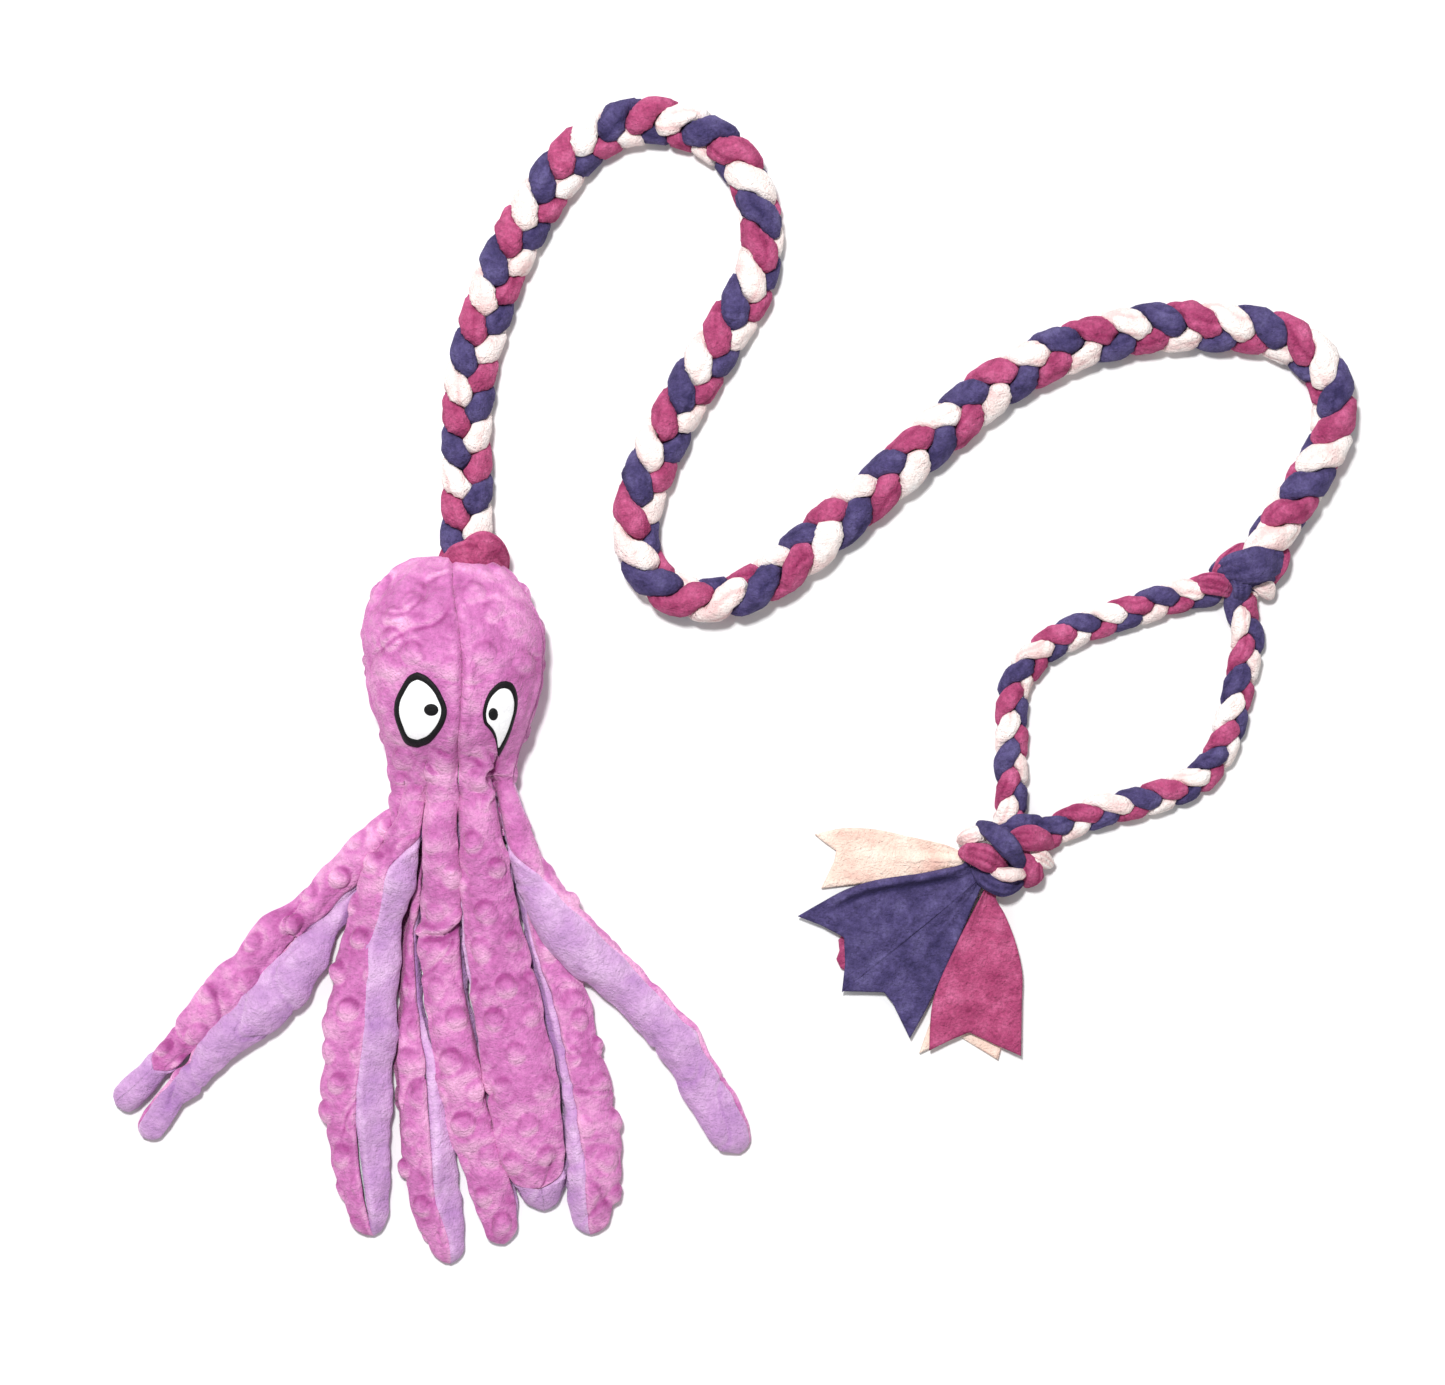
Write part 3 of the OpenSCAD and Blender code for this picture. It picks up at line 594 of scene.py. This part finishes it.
# Middle of each eye, its outline from there, and the pupil's middle and half size
EYES = {
    "left": ((-2.5, 94.3), [
        (-0.8, 16.6), (3, 15), (6.2, 12.3), (8.8, 9), (10.4, 5.8), (12, 2), (12.4, -1.2), (11.6, -5), (9.2, -9.5),
        (4.5, -14.8), (0, -16.8), (-2.6, -17.2), (-7.1, -15.4), (-9.7, -9.5), (-11.4, -4), (-11.7, 0), (-11, 4.2),
        (-9.1, 8.2), (-5, 14.5)], (3, 94), (3.4, 2.8)),
    "right": ((34, 91), [
        (2.7, 15.9), (5.2, 15), (6.8, 12.6), (7.6, 9.5), (7.8, 6.7), (7.3, 2.5), (6.2, -1.5), (4.6, -6.5), (2.7, -11),
        (0.6, -15), (-1.4, -18), (-1.8, -16), (-2, -13.3), (-2.7, -10), (-3.8, -7.4), (-5.6, -5), (-7, -3.3),
        (-7.6, -0.5), (-7.6, 2), (-7, 5), (-6.1, 7.9), (-4.6, 10.8), (-2.6, 13.2), (0, 15.3)], (31, 92), (2.2, 2.9)),
}
# Crease beside the right eye, down to the hem
PINCH = [[32.4, 73], [30, 68], [26.8, 63.5], [29.5, 59], [31, 54.5], [28.5, 49], [27.5, 44]]


def head_surface(y, angles):
    """Points of the plain head skin at these heights along it and angles, in mm"""
    cx, w, zm, top, bottom = (np.interp(y, HEAD_LINE[:, 0], HEAD_LINE[:, k])[:, None] for k in range(1, 6))
    a = np.radians(angles)[None, :]
    front = np.sin(a) > 0
    a = np.where(np.abs(np.sin(a)) < 1e-9, 0.0 * a + np.round(a / math.pi) * math.pi, a)
    rise = np.where(front, top - zm, -(zm - bottom + 2)) * np.abs(np.sin(a)) ** 0.85
    z = np.maximum(zm + rise, np.maximum(bottom, 0))
    return np.stack([cx + w * np.cos(a), np.broadcast_to(y[:, None], z.shape), z], -1)


def dot(d, radius):
    """Flat-topped dot of unit height with a shallow groove around it"""
    return np.clip(1 - (d / radius) ** 2.6, 0, 1) ** 0.9 - 0.22 * bump(d - radius - 0.4, 1.8)


def dots(u, v, seed, pitch=(18.5, 16.5), radius=5.3, height=2.9):
    """Raised dots of the plush in offset rows over surface distances u and v, in mm"""
    rng = np.random.default_rng(seed)
    total = np.zeros_like(u)
    for row in range(int(v.min() // pitch[1]) - 1, int(v.max() // pitch[1]) + 2):
        for col in range(int(u.min() // pitch[0]) - 1, int(u.max() // pitch[0]) + 2):
            shift = rng.normal(0, 1.1, 2)
            size, tall = rng.uniform(0.88, 1.1), rng.uniform(0.6, 1.0)
            x = (col + 0.5 * (row % 2)) * pitch[0] + shift[0]
            y = row * pitch[1] + shift[1]
            hump = dot(np.hypot(u - x, v - y), radius * size)
            total = np.where(hump != 0, hump * tall, total)
    return total * height


# Dots on the front of the head: x, y and height
FRONT_DOTS = [
    [-15, 136, 0.9], [-15.5, 126, 1.5], [-5.5, 120, 1.2], [-18, 114, 0.7], [-6, 144, 0.8], [-18, 98, 0.6],
    [-11.5, 71.5, 1.5], [1.5, 66.5, 1.5], [-13, 60, 1.1], [9.5, 72, 0.8], [14, 86, 1.1], [-6, 54, 1], [4, 55, 0.7],
    [22, 148, 0.9], [31, 139, 1], [27, 120, 0.7], [45.5, 116, 0.7], [13, 113, 0.6], [40, 132, 0.6], [22, 62, 0.9],
    [41, 68, 0.6], [12, 132, 0.7]
]


def head_relief(points, u, v, angles, seed):
    """How far the skin stands out from the plain surface, in mm"""
    y = points[..., 1]
    eye_free = np.ones_like(u)
    for middle, outline, _, _ in EYES.values():
        span = np.ptp(np.array(outline), axis=0) / 2
        near = np.hypot((points[..., 0] - middle[0]) / (span[0] + 5), (y - middle[1]) / (span[1] + 5))
        eye_free = eye_free * np.where(points[..., 2] > 20, step_up(near, 0.75, 1.05), 1)
    front_dots = np.zeros_like(u)
    for spot in FRONT_DOTS:
        hump = dot(np.hypot(points[..., 0] - spot[0], y - spot[1]), 5.4)
        front_dots = np.where(hump != 0, hump * spot[2] * 1.25, front_dots)
    d = np.where(points[..., 2] > 18, front_dots, dots(u, v, seed) * 0.75) * eye_free
    d = d * (1 - step_up(y, 152, 162)) * (0.4 + 0.6 * step_up(y, 42, 60))
    d = d + crumple(points, 8) * (0.25 + 0.75 * eye_free)
    edge = np.minimum(u - u[:, :1], u[:, -1:] - u)
    pucker = 1 + 0.25 * line_ripple(v, 7, seed)
    d = d * (0.25 + 0.75 * step_up(edge, 0, 5)) + 0.5 * bump(edge - 3.2, 3) - 1.0 * bump(edge, 1.5) * pucker
    crown = step_up(y, 140, 160)
    fan = np.cos(np.radians(angles)[None] * 11 + 0.8 * np.sin(y / 6)) + 0.6 * np.cos(np.radians(angles)[None] * 19 + 2)
    d = d + crown * fan * 0.7 * (1 - 0.7 * step_up(y, 157, 163))
    front = points[..., 2] > 14
    far, side, share = line_distance(points, PINCH)
    deep = step_up(share, -0.05, 0.12) * (1 - 0.75 * step_up(share, 0.85, 1.0))
    over = np.where(side < 0, 3.2 * bump(far - 3, 5), -3.4 * np.clip(1 - far / 16, 0, 1) * step_up(share, 0, 0.7))
    d = d + front * deep * (over - 3.4 * bump(far, 2.2))
    return d


def tentacle_top(letter, x, y):
    """Height of a tentacle's top over points in plan, and how far inside its width they are, 1 at its middle"""
    way = np.array(TENTACLES[letter]["stations"], float)[::-1]
    cx, w, low, top = (np.interp(y, way[:, 1], way[:, k]) for k in (0, 2, 3, 4))
    inside = 1 - ((x - cx) / w) ** 2
    return (low + top) / 2 + (top - low) / 2 * np.sqrt(np.clip(inside, 0, 1)), inside


def neck_shape(points):
    """Draw the front skin near the hem onto the tentacles that leave it, with folds between them"""
    x, y, z = points[..., 0], points[..., 1], points[..., 2]
    union = np.maximum.reduce([tentacle_top(letter, x, y)[0] for letter in "cefh"])
    share = 1 - step_up(y, 54, 84)
    low = np.minimum(z, union - 8.6 + 6 * step_up(y, 40, 50) + 4.4 * step_up(y, 46, 66))
    points[..., 2] = np.where(z > 12, z + (low - z) * share, z)
    return points


def height_over(trees, x, y, default=0.0):
    """Height of the highest of the meshes over a point in plan"""
    hits = [tree.ray_cast(Vector((x, y, 90)), Vector((0, 0, -1)))[0] for tree in trees]
    return max([hit.z for hit in hits if hit], default=default)


def node_tree(name):
    """A CAD node in mm, to keep the skins clear of it"""
    node = bpy.data.objects[name]
    points = [node.matrix_world @ v.co / MM for v in node.data.vertices]
    return BVHTree.FromPolygons(points, [tuple(f.vertices) for f in node.data.polygons])


STUFFING = [node_tree(name) for name in ("filling_neck", "filling_ring")]


def head_panel(name, start, end, seed, columns, node, front):
    """Skin of one panel between two angles around the head, curled in at the hem and closed at the crown"""
    body_y = np.linspace(HEM_Y, 163, 124)
    turn = np.radians(np.linspace(0, 86, 8)[1:])
    angles = np.linspace(start, end, columns)
    plain = head_surface(body_y, angles)
    if front:
        plain = neck_shape(plain)
    closing = [CROWN_MIDDLE + (plain[-1] - CROWN_MIDDLE) * [np.cos(t), 1, np.cos(t)] + [0, 1.6 * np.sin(t), 0]
               for t in turn]
    curl = [NECK_MIDDLE + (plain[0] - NECK_MIDDLE) * [0.35 + 0.65 * np.cos(t), 1, np.cos(t)] -
            [0, 4.5 * np.sin(t), 0] for t in turn[::-1]]
    plain = np.concatenate([curl, plain, closing])
    u = 3 + row_lengths(plain)
    v = np.broadcast_to(plain[:, :1, 1], u.shape).copy()
    v[-len(turn):] += np.linspace(1, 8, len(turn))[:, None]
    v[:len(turn)] -= np.linspace(8, 1, len(turn))[:, None]
    normal = grid_normals(plain)
    centre = plain * [0, 1, 0] + [12, 0, 16]
    normal *= np.sign(((plain - centre) * normal).sum(-1).mean())
    relief = head_relief(plain, u, v, angles, seed)
    relief[-len(turn):] *= np.cos(turn)[:, None]
    relief[:len(turn)] *= np.cos(turn[::-1])[:, None]
    outer = plain + normal * relief[..., None]
    raise_to(outer, 0.3)
    if front:
        cover = [height_over(STUFFING, x, y) + HEAD_SKIN + 0.8 for x, y in outer[..., :2].reshape(-1, 2)]
        raise_to(outer, np.where(outer[..., 2] > 14, np.array(cover).reshape(u.shape), 0))
    inner = outer - normal * HEAD_SKIN
    raise_to(inner, 0.9)
    # Painted shade and highlight on the head skin: lighter on humps and on slopes towards the light
    obj = shell(name, outer, inner, [PLUSH], painted_shade(relief, 1, 1.0))
    piece(obj, "head", "orchid_plush", node)
    if front:
        squeeze(obj)
    return outer


def squeeze(obj):
    """Give a piece its own copy of its mesh"""
    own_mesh(obj)


left_grid = head_panel("head_front_left_skin", FRONT_SEAM, 170, 11, 74, "head_front_left", True)
right_grid = head_panel("head_front_right_skin", 9, FRONT_SEAM, 12, 66, "head_front_right", True)
head_panel("head_back_left_skin", 170, 270, 13, 60, "head_back_left", False)
head_panel("head_back_right_skin", 270, 369, 14, 60, "head_back_right", False)


def neck_closure():
    """Plush disc that closes the neck inside the hem, between the tentacles"""
    angles = np.linspace(0, 360, 72, endpoint=False)
    rim = neck_shape(head_surface(np.array([HEM_Y]), angles))[0]
    rim[:, 2] = np.minimum(rim[:, 2], 16)
    grid = []
    for share, y in ((0.1, 41), (0.4, 41), (0.7, 41), (0.9, 41.3), (0.94, 42.5), (0.9, 43.7), (0.7, 44), (0.4, 44),
                     (0.1, 44)):
        ring = NECK_MIDDLE + (rim - NECK_MIDDLE) * share
        ring[:, 1] = y
        grid.append(ring)
    obj = make_mesh("neck_closure", np.concatenate(grid), tube_faces(len(grid), 72), [PLUSH])
    piece(obj, "head", "orchid_plush", "head_base")


neck_closure()


# ---------------- eyes
def skin_tree():
    """The front skins, to lay the eye patches on"""
    points, faces, start = [], [], 0
    for grid in (left_grid, right_grid):
        rows, cols = grid.shape[:2]
        points += grid.reshape(-1, 3).tolist()
        faces += [[k, k + 1, k + cols + 1, k + cols] for i in range(rows - 1)
                  for k in range(start + i * cols, start + (i + 1) * cols - 1)]
        start += rows * cols
    return BVHTree.FromPolygons(points, faces)


SKIN = skin_tree()


def patch(name, middle, outline, shares, lifts, mat, slot_name, node):
    """Raised patch on the skin between shares of a closed outline, with the lift at each share; one whose first
    share is small is closed in the middle"""
    ring = smooth(list(outline) + [outline[0]], 6)[:-1]
    grid = []
    for share, lift in zip(shares, lifts):
        flat = ring * share + np.array(middle)
        heights = []
        for x, y in flat:
            near = [height_over([SKIN], x + dx, y + dy, 20.0)
                    for dx, dy in ((0, 0), (1.5, 0), (-1.5, 0), (0, 1.5), (0, -1.5))]
            heights.append(sum(near) / 5 + lift)
        grid.append(np.column_stack([flat, heights]))
    top = np.array(grid)
    low = top.copy()
    low[..., 2] -= 1.2
    loop = np.concatenate([top, low[::-1]])
    rows, cols = loop.shape[:2]
    faces, last = tube_faces(rows, cols)[:-2], (rows - 1) * cols
    points = loop.reshape(-1, 3)
    pairs = [(j, (j + 1) % cols) for j in range(cols)]
    if shares[0] < 0.4:
        centre = loop[0].mean(0)
        points = np.vstack([points, centre, centre - [0, 0, 1.2]])
        for j, k in pairs:
            faces += [[j, k, rows * cols], [last + j, last + k, rows * cols + 1]]
    else:
        faces += [[last + j, last + k, k, j] for j, k in pairs]
    obj = make_mesh(name, points, faces, [mat])
    squeeze(piece(obj, "head", slot_name, node))


for where, (middle, outline, pupil, pupil_size) in EYES.items():
    outline = np.array(outline)
    patch(f"eye_{where}_white", middle, outline, (0.25, 0.5, 0.7, 0.84, 0.9), (0.9, 0.85, 0.8, 0.75, 0.5),
          EYE_WHITE, "white_embroidery", f"eye_white_{where}")
    patch(f"eye_{where}_outline", middle, outline, (0.8, 0.84, 0.9, 0.96, 1.0, 1.02), (0.7, 1.15, 1.35, 1.3, 1.0, 0.1),
          EYE_BLACK, "black_embroidery", f"eye_outline_{where}")
    round_pupil = [(pupil_size[0] * math.cos(a), pupil_size[1] * math.sin(a))
                   for a in np.linspace(0, 2 * math.pi, 12, endpoint=False)]
    patch(f"eye_{where}_pupil", pupil, round_pupil, (0.35, 0.75, 0.93, 1.0), (1.7, 1.55, 1.3, 0.7),
          EYE_BLACK, "black_embroidery", f"eye_pupil_{where}")


def crowding(points, letter):
    """How close the other tentacles' tops pass to points of this one, from 0 to 1"""
    x, y, z = points[..., 0], points[..., 1], points[..., 2]
    total = np.zeros_like(x)
    for other in LETTERS:
        if other == letter or {other, letter} == {"a", "b"}:
            continue
        spec = TENTACLES[other]
        top, inside = tentacle_top(other, x, y)
        there = step_up(inside, -0.7, 0) * (y > spec["stations"][-1][1]) * (y < spec["stations"][0][1])
        total = np.maximum(total, there * step_up(top + spec.get("up", 0) - z, -2.8, 0.5))
    return total


def tentacle_half(letter, spec, dotted, seed):
    """Dotted or lilac half of a tentacle, from seam to seam"""
    _, line = resample(smooth(spec["stations"], 14), 1.25)
    marks = lengths(line)
    ahead = unit(np.gradient(line[:, :2], axis=0))
    side = np.column_stack([-ahead[:, 1], ahead[:, 0]])
    left = marks[-1] - marks
    close = np.clip(left / 5.0, 0.002, 1)
    rounding = np.sqrt(1 - (1 - close) ** 2)
    w = (line[:, 2] + 0.5 * step_up(marks, 30, 60)) * rounding
    raised = spec.get("up", 0) * step_up(marks, 30, 70) * step_up(left, 0, 30)
    bottom, top = np.maximum(line[:, 3], 0), line[:, 4]
    middle = (bottom + top) / 2 + raised
    h = (top - bottom) / 2 * rounding
    tip = spec.get("tip", 0)
    wrap = 90 * (1 - np.sqrt(1 - (1 - np.clip((left - tip) / 11, 0, 1)) ** 2)) if tip else 0 * left
    roll = keyed(marks, spec["roll"], 5) + 6 * line_ripple(marks, 70, seed)
    lap = (0 if dotted else 8) * (1 - wrap / 90)
    first = roll + wrap if dotted else roll + 180 - wrap - lap
    last = roll + 180 - wrap if dotted else roll + 360 + wrap + lap
    share = np.linspace(0, 1, 40)[None]
    a = np.radians(first[:, None] + (last - first)[:, None] * share)
    cx, cz = np.sign(np.cos(a)) * np.abs(np.cos(a)) ** 0.98, np.sign(np.sin(a)) * np.abs(np.sin(a)) ** 1.2
    plain = np.stack([line[:, :1] + side[:, :1] * w[:, None] * cx, line[:, 1:2] + side[:, 1:] * w[:, None] * cx,
                      middle[:, None] + h[:, None] * cz], -1)
    u = row_lengths(plain)
    v = np.broadcast_to(marks[:, None], u.shape)
    axis = np.column_stack([line[:, :2], middle])[:, None]
    out = grid_normals(plain)
    out *= np.sign(((plain - axis) * out).sum(-1))[..., None]
    out = unit(out + unit(plain - axis) * (1.5 - rounding)[:, None, None])
    relief = crumple(plain, 30 + ord(letter))
    strain = np.stack([v, u * 0.22, 0 * u], -1)
    seam = (1 - wrap / 90)[:, None]
    edge = np.minimum(u, u[:, -1:] - u)
    relief = relief + ripple(strain, 10, 20 + ord(letter)) * 0.38 * np.maximum(seam, step_up(edge, 0, 9))
    if dotted:
        free = step_up(edge, 1.0, 6)
        relief = relief + dots(u, v, seed + 30) * free * (0.55 + 0.45 * step_up(ripple(plain, 40, seed), -1, 1))
    edge = edge - (np.radians(lap) * w)[:, None] * 0.6
    pucker = 1 + 0.3 * line_ripple(v, 6, ord(letter))
    relief = relief + seam * (0.5 * bump(edge - 2.6, 2.6) - 0.8 * bump(edge, 1.5) * pucker - 0.9 * step_up(-edge, 0, 1))
    for way, deep in spec.get("creases", []):
        far, side_of, _ = line_distance(plain, way)
        fold = np.where(side_of > 0, 0.8 * bump(far - 3, 4), -0.4 * bump(far, 6)) - bump(far, 1.8)
        relief = relief + (plain[..., 2] > middle[:, None]) * deep * fold
    crowd = crowding(plain, letter) * (plain[..., 2] > middle[:, None] - 1)
    relief = relief * (1 - crowd) - 2.0 * crowd
    rooted = step_up(marks, *(4, 24) if letter in "abdg" else (20, 42))[:, None]
    relief = relief * step_up(left, 0, 9)[:, None] * (0.3 + 0.7 * rooted)
    outer = plain + out * relief[..., None]
    raise_to(outer, 0.25)
    far = np.linalg.norm(outer - axis, axis=-1)
    inner = axis + (outer - axis) * (1 - TENTACLE_SKIN / np.maximum(far, 2.0))[..., None]
    raise_to(inner, 0.8)
    kind, slot, node = ("dotted", "orchid_plush", "dotted") if dotted else ("lilac", "lilac_plush", "smooth")
    # Painted shade and highlight: from the relief, a painted highlight along the seams, and painted shade where other
    # tentacles pass close
    obj = shell(f"tentacle_{letter}_{kind}_skin", outer, inner, [PLUSH if dotted else LILAC],
                painted_shade(relief, -1, 1.25) + 0.7 * seam * bump(edge - 0.8, 1.6) * (1 - crowd) - 1.6 * crowd)
    stands_for(obj, slot, f"tentacle_{letter}_{node}")
    hinge, way = np.array(spec["hinge"]), np.array(spec.get("out", (0, -1)))
    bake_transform(obj)


for number, (letter, spec) in enumerate(TENTACLES.items()):
    for is_dotted in (True, False):
        tentacle_half(letter, spec, is_dotted, 60 + 2 * number + is_dotted)


# ---------------- fleece tails
# Left and right edges from the knot out, swallow-tailed end between them, height, gathers and what it lies on
TAILS = {
    "white_upper": dict(mat=SHADED_WHITE_FLEECE, slot="white_fleece", z=1.6, left=[
        [248, 27], [242, 30], [236, 32], [222, 35], [211, 37.5], [202, 38.8], [190, 38.8], [178, 36]],
        end=[[178, 36], [183, 32], [188, 28.5], [187, 23.5], [181, 11]],
        right=[[250, 21], [242, 20], [226, 16.5], [212, 14.5], [194, 12.5], [181, 11]],
        area=0.00155, flat=(0.036, 0.07), on="floor"),
    "magenta_under": dict(mat=MAGENTA, slot="magenta_fleece", z=1.6, left=[
        [249, 21], [247, 20], [226, 11.5], [205, 3], [189, -13]],
        end=[[189, -13], [189.5, -18], [188, -22], [190, -26], [207, -34]],
        right=[[252, 17], [251, 15], [229, -10], [207, -34]], area=0.0018, flat=(0.034, 0.07), on="floor"),
    "white_under": dict(mat=SHADED_WHITE_FLEECE, slot="white_fleece", z=1.6, left=[
        [257, 11], [256.5, 5], [246, -18], [236, -40], [226.5, -65.5]],
        end=[[226.5, -65.5], [244, -57], [263, -68.5]],
        right=[[261, 11], [260, 4], [267, -20], [269, -42], [263, -68.5]], area=0.00175,
        flat=(0.036, 0.08), on="floor"),
    "purple_lower": dict(mat=PURPLE, slot="purple_fleece", z=4.3, left=[
        [250, 17], [248, 13.5], [218, -12], [191, -36.5]],
        end=[[191, -36.5], [210, -37], [214, -42], [222, -58.5]],
        right=[[256, 14], [254.2, 10], [243, -16], [231, -42], [222, -58.5]],
        area=0.00155, flat=(0.032, 0.08), on="tail_white_under_strip"),
    "purple_upper": dict(mat=PURPLE, slot="purple_fleece", z=5.2, left=[
        [248, 24], [245, 22], [236, 20], [226, 18], [215, 16.5], [204, 14.5], [192, 10.5], [180, 4], [170, -1.8]],
        end=[[170, -1.8], [181, -6], [191.5, -11.5], [192, -24], [190.5, -37]],
        right=[[253, 17], [251, 13], [220, -13], [190.5, -37]],
        area=0.0021, flat=(0.045, 0.085), on="tail_magenta_under_strip"),
    "magenta_upper": dict(mat=MAGENTA, slot="magenta_fleece", z=5.0, left=[
        [257, 13], [255.5, 9], [244, -14], [233, -40], [231, -64]],
        end=[[231, -64], [240, -59.5], [249.5, -55.5], [261, -61], [273.5, -66.5]],
        right=[[262, 12], [262, 6], [266, -1], [271, -14], [274, -28], [273.8, -45], [273.5, -66.5]],
        area=0.0026, flat=(0.045, 0.085), on="tail_white_under_strip"),
}


FLEECE_HALF = 1.25  # half the thickness of the fleece, in mm


def tail_strip(name, spec, seed):
    """Fleece strip between its two edges, gathered at the knot, with a notched end"""
    rows, columns = 64, 44
    t, s = np.linspace(0, 1, rows), np.linspace(0, 1, columns)
    left, right = (at_shares(smooth(spec[key], 10), t) for key in ("left", "right"))
    width = np.linalg.norm(right - left, axis=1)[:, None]
    rim = at_shares(np.array(spec["end"], float), s)
    flat = left[:, None] * (1 - s)[None, :, None] + right[:, None] * s[None, :, None]
    flat = flat + (t**3)[:, None, None] * (rim - flat[-1])
    gather = (1 - t)[:, None] ** 1.6
    across = s[None] * 2 * math.pi
    place = np.concatenate([flat, np.zeros((rows, columns, 1))], 2)
    lift = gather * (1.1 * np.cos(across * 1.3 + seed) + 0.3 * np.cos(across * 3.1 + 2 * seed)) + 2.2 * gather**2
    lift = lift + (0.45 * ripple(place, 26, seed) + 0.14 * ripple(place, 8, seed + 1)) * (0.3 + 0.7 * t[:, None])
    edge = np.minimum(np.minimum(s, 1 - s)[None] * width, (1 - t)[:, None] * 60)
    round_off = 0.5 * (1 - np.clip(edge / 1.2, 0, 1)) ** 2
    # Painted light and shade: lighter or darker with the slope across the strip, darker at the rounded edges
    tone = 0.8 * np.gradient(lift, axis=1) - 0.5 * round_off
    if name == "purple_upper":
        near, away = s[None] * width, (1 - s)[None] * width
        fold = step_up(t, 0.05, 0.2)[:, None] * (1 - step_up(t, 0.7, 0.9))[:, None]
        lift = lift + fold * (2.6 * bump(near - 2.5, 3.2) - 1.0 * bump(near - 6.5, 2.2))
        # Painted shade in the groove behind the rolled edge
        tone = tone - 2.6 * fold * bump(near - 5.5, 2.2)
        round_off = round_off + 0.9 * np.clip(1 - away / 7, 0, 1)
    top = np.concatenate([flat, (spec["z"] + lift + FLEECE_HALF - round_off)[..., None]], 2)
    low = np.concatenate([flat, (spec["z"] + lift - FLEECE_HALF + round_off * 0.4)[..., None]], 2)
    raise_to(low, 0.2)
    raise_to(top, low[..., 2] + 1.6)
    obj = shell(f"tail_{name}_strip", top, low, [spec["mat"]], tone)
    piece(obj, f"tail_{name}", spec["slot"], f"tail_{name}")


for number, (name, spec) in enumerate(TAILS.items()):
    tail_strip(name, spec, number + 1)


# ---------------- inner parts that keep their CAD shape
INNER = {
    "filling_ring": FILLING, "filling_neck": FILLING, "anchor_knot": MAGENTA,
    "squeaker_cup": PLASTIC, "squeaker_bellows": PLASTIC, "squeaker_cap": PLASTIC, "squeaker_reed": REED,
    **{f"tentacle_{letter}_crinkle": FILM for letter in LETTERS},
}
for node, mat in INNER.items():
    for slot_of_node in bpy.data.objects[node].material_slots:
        slot_of_node.material = mat


# ---------------- floor and light
def make_stage():
    """White floor and background, one main light from above and a soft one from the crown's side"""
    data = bpy.data.meshes.new("floor")
    data.from_pydata([(-6, -6, 0), (6, -6, 0), (6, 6, 0), (-6, 6, 0)], [], [(0, 1, 2, 3)])
    m = bpy.data.materials.new("floor_white")
    m.use_nodes = True
    shader = m.node_tree.nodes["Principled BSDF"]
    shader.inputs["Base Color"].default_value = (0.9, 0.9, 0.9, 1)
    shader.inputs["Roughness"].default_value = 0.9
    data.materials.append(m)
    add_object("floor", data)
    world = bpy.data.worlds.new("world")
    bpy.context.scene.world = world
    world.use_nodes = True
    back = world.node_tree.nodes["Background"]
    back.inputs["Color"].default_value = (1, 1, 1, 1)
    back.inputs["Strength"].default_value = 0.41
    for name, place, size, power in (
        ("key", (-0.15, 0.75, 2.15), 0.25, 47),
        ("fill", (-0.4, 1.7, 1.1), 0.8, 8),
    ):
        lamp = bpy.data.lights.new(name, "AREA")
        lamp.energy = power
        lamp.size = size
        obj = add_object(name, lamp)
        obj.location = place
        obj.rotation_euler = (Vector((0.13, 0.1, 0)) - Vector(place)).to_track_quat("-Z", "Y").to_euler()
    bpy.context.scene.view_settings.view_transform = "Standard"


make_stage()
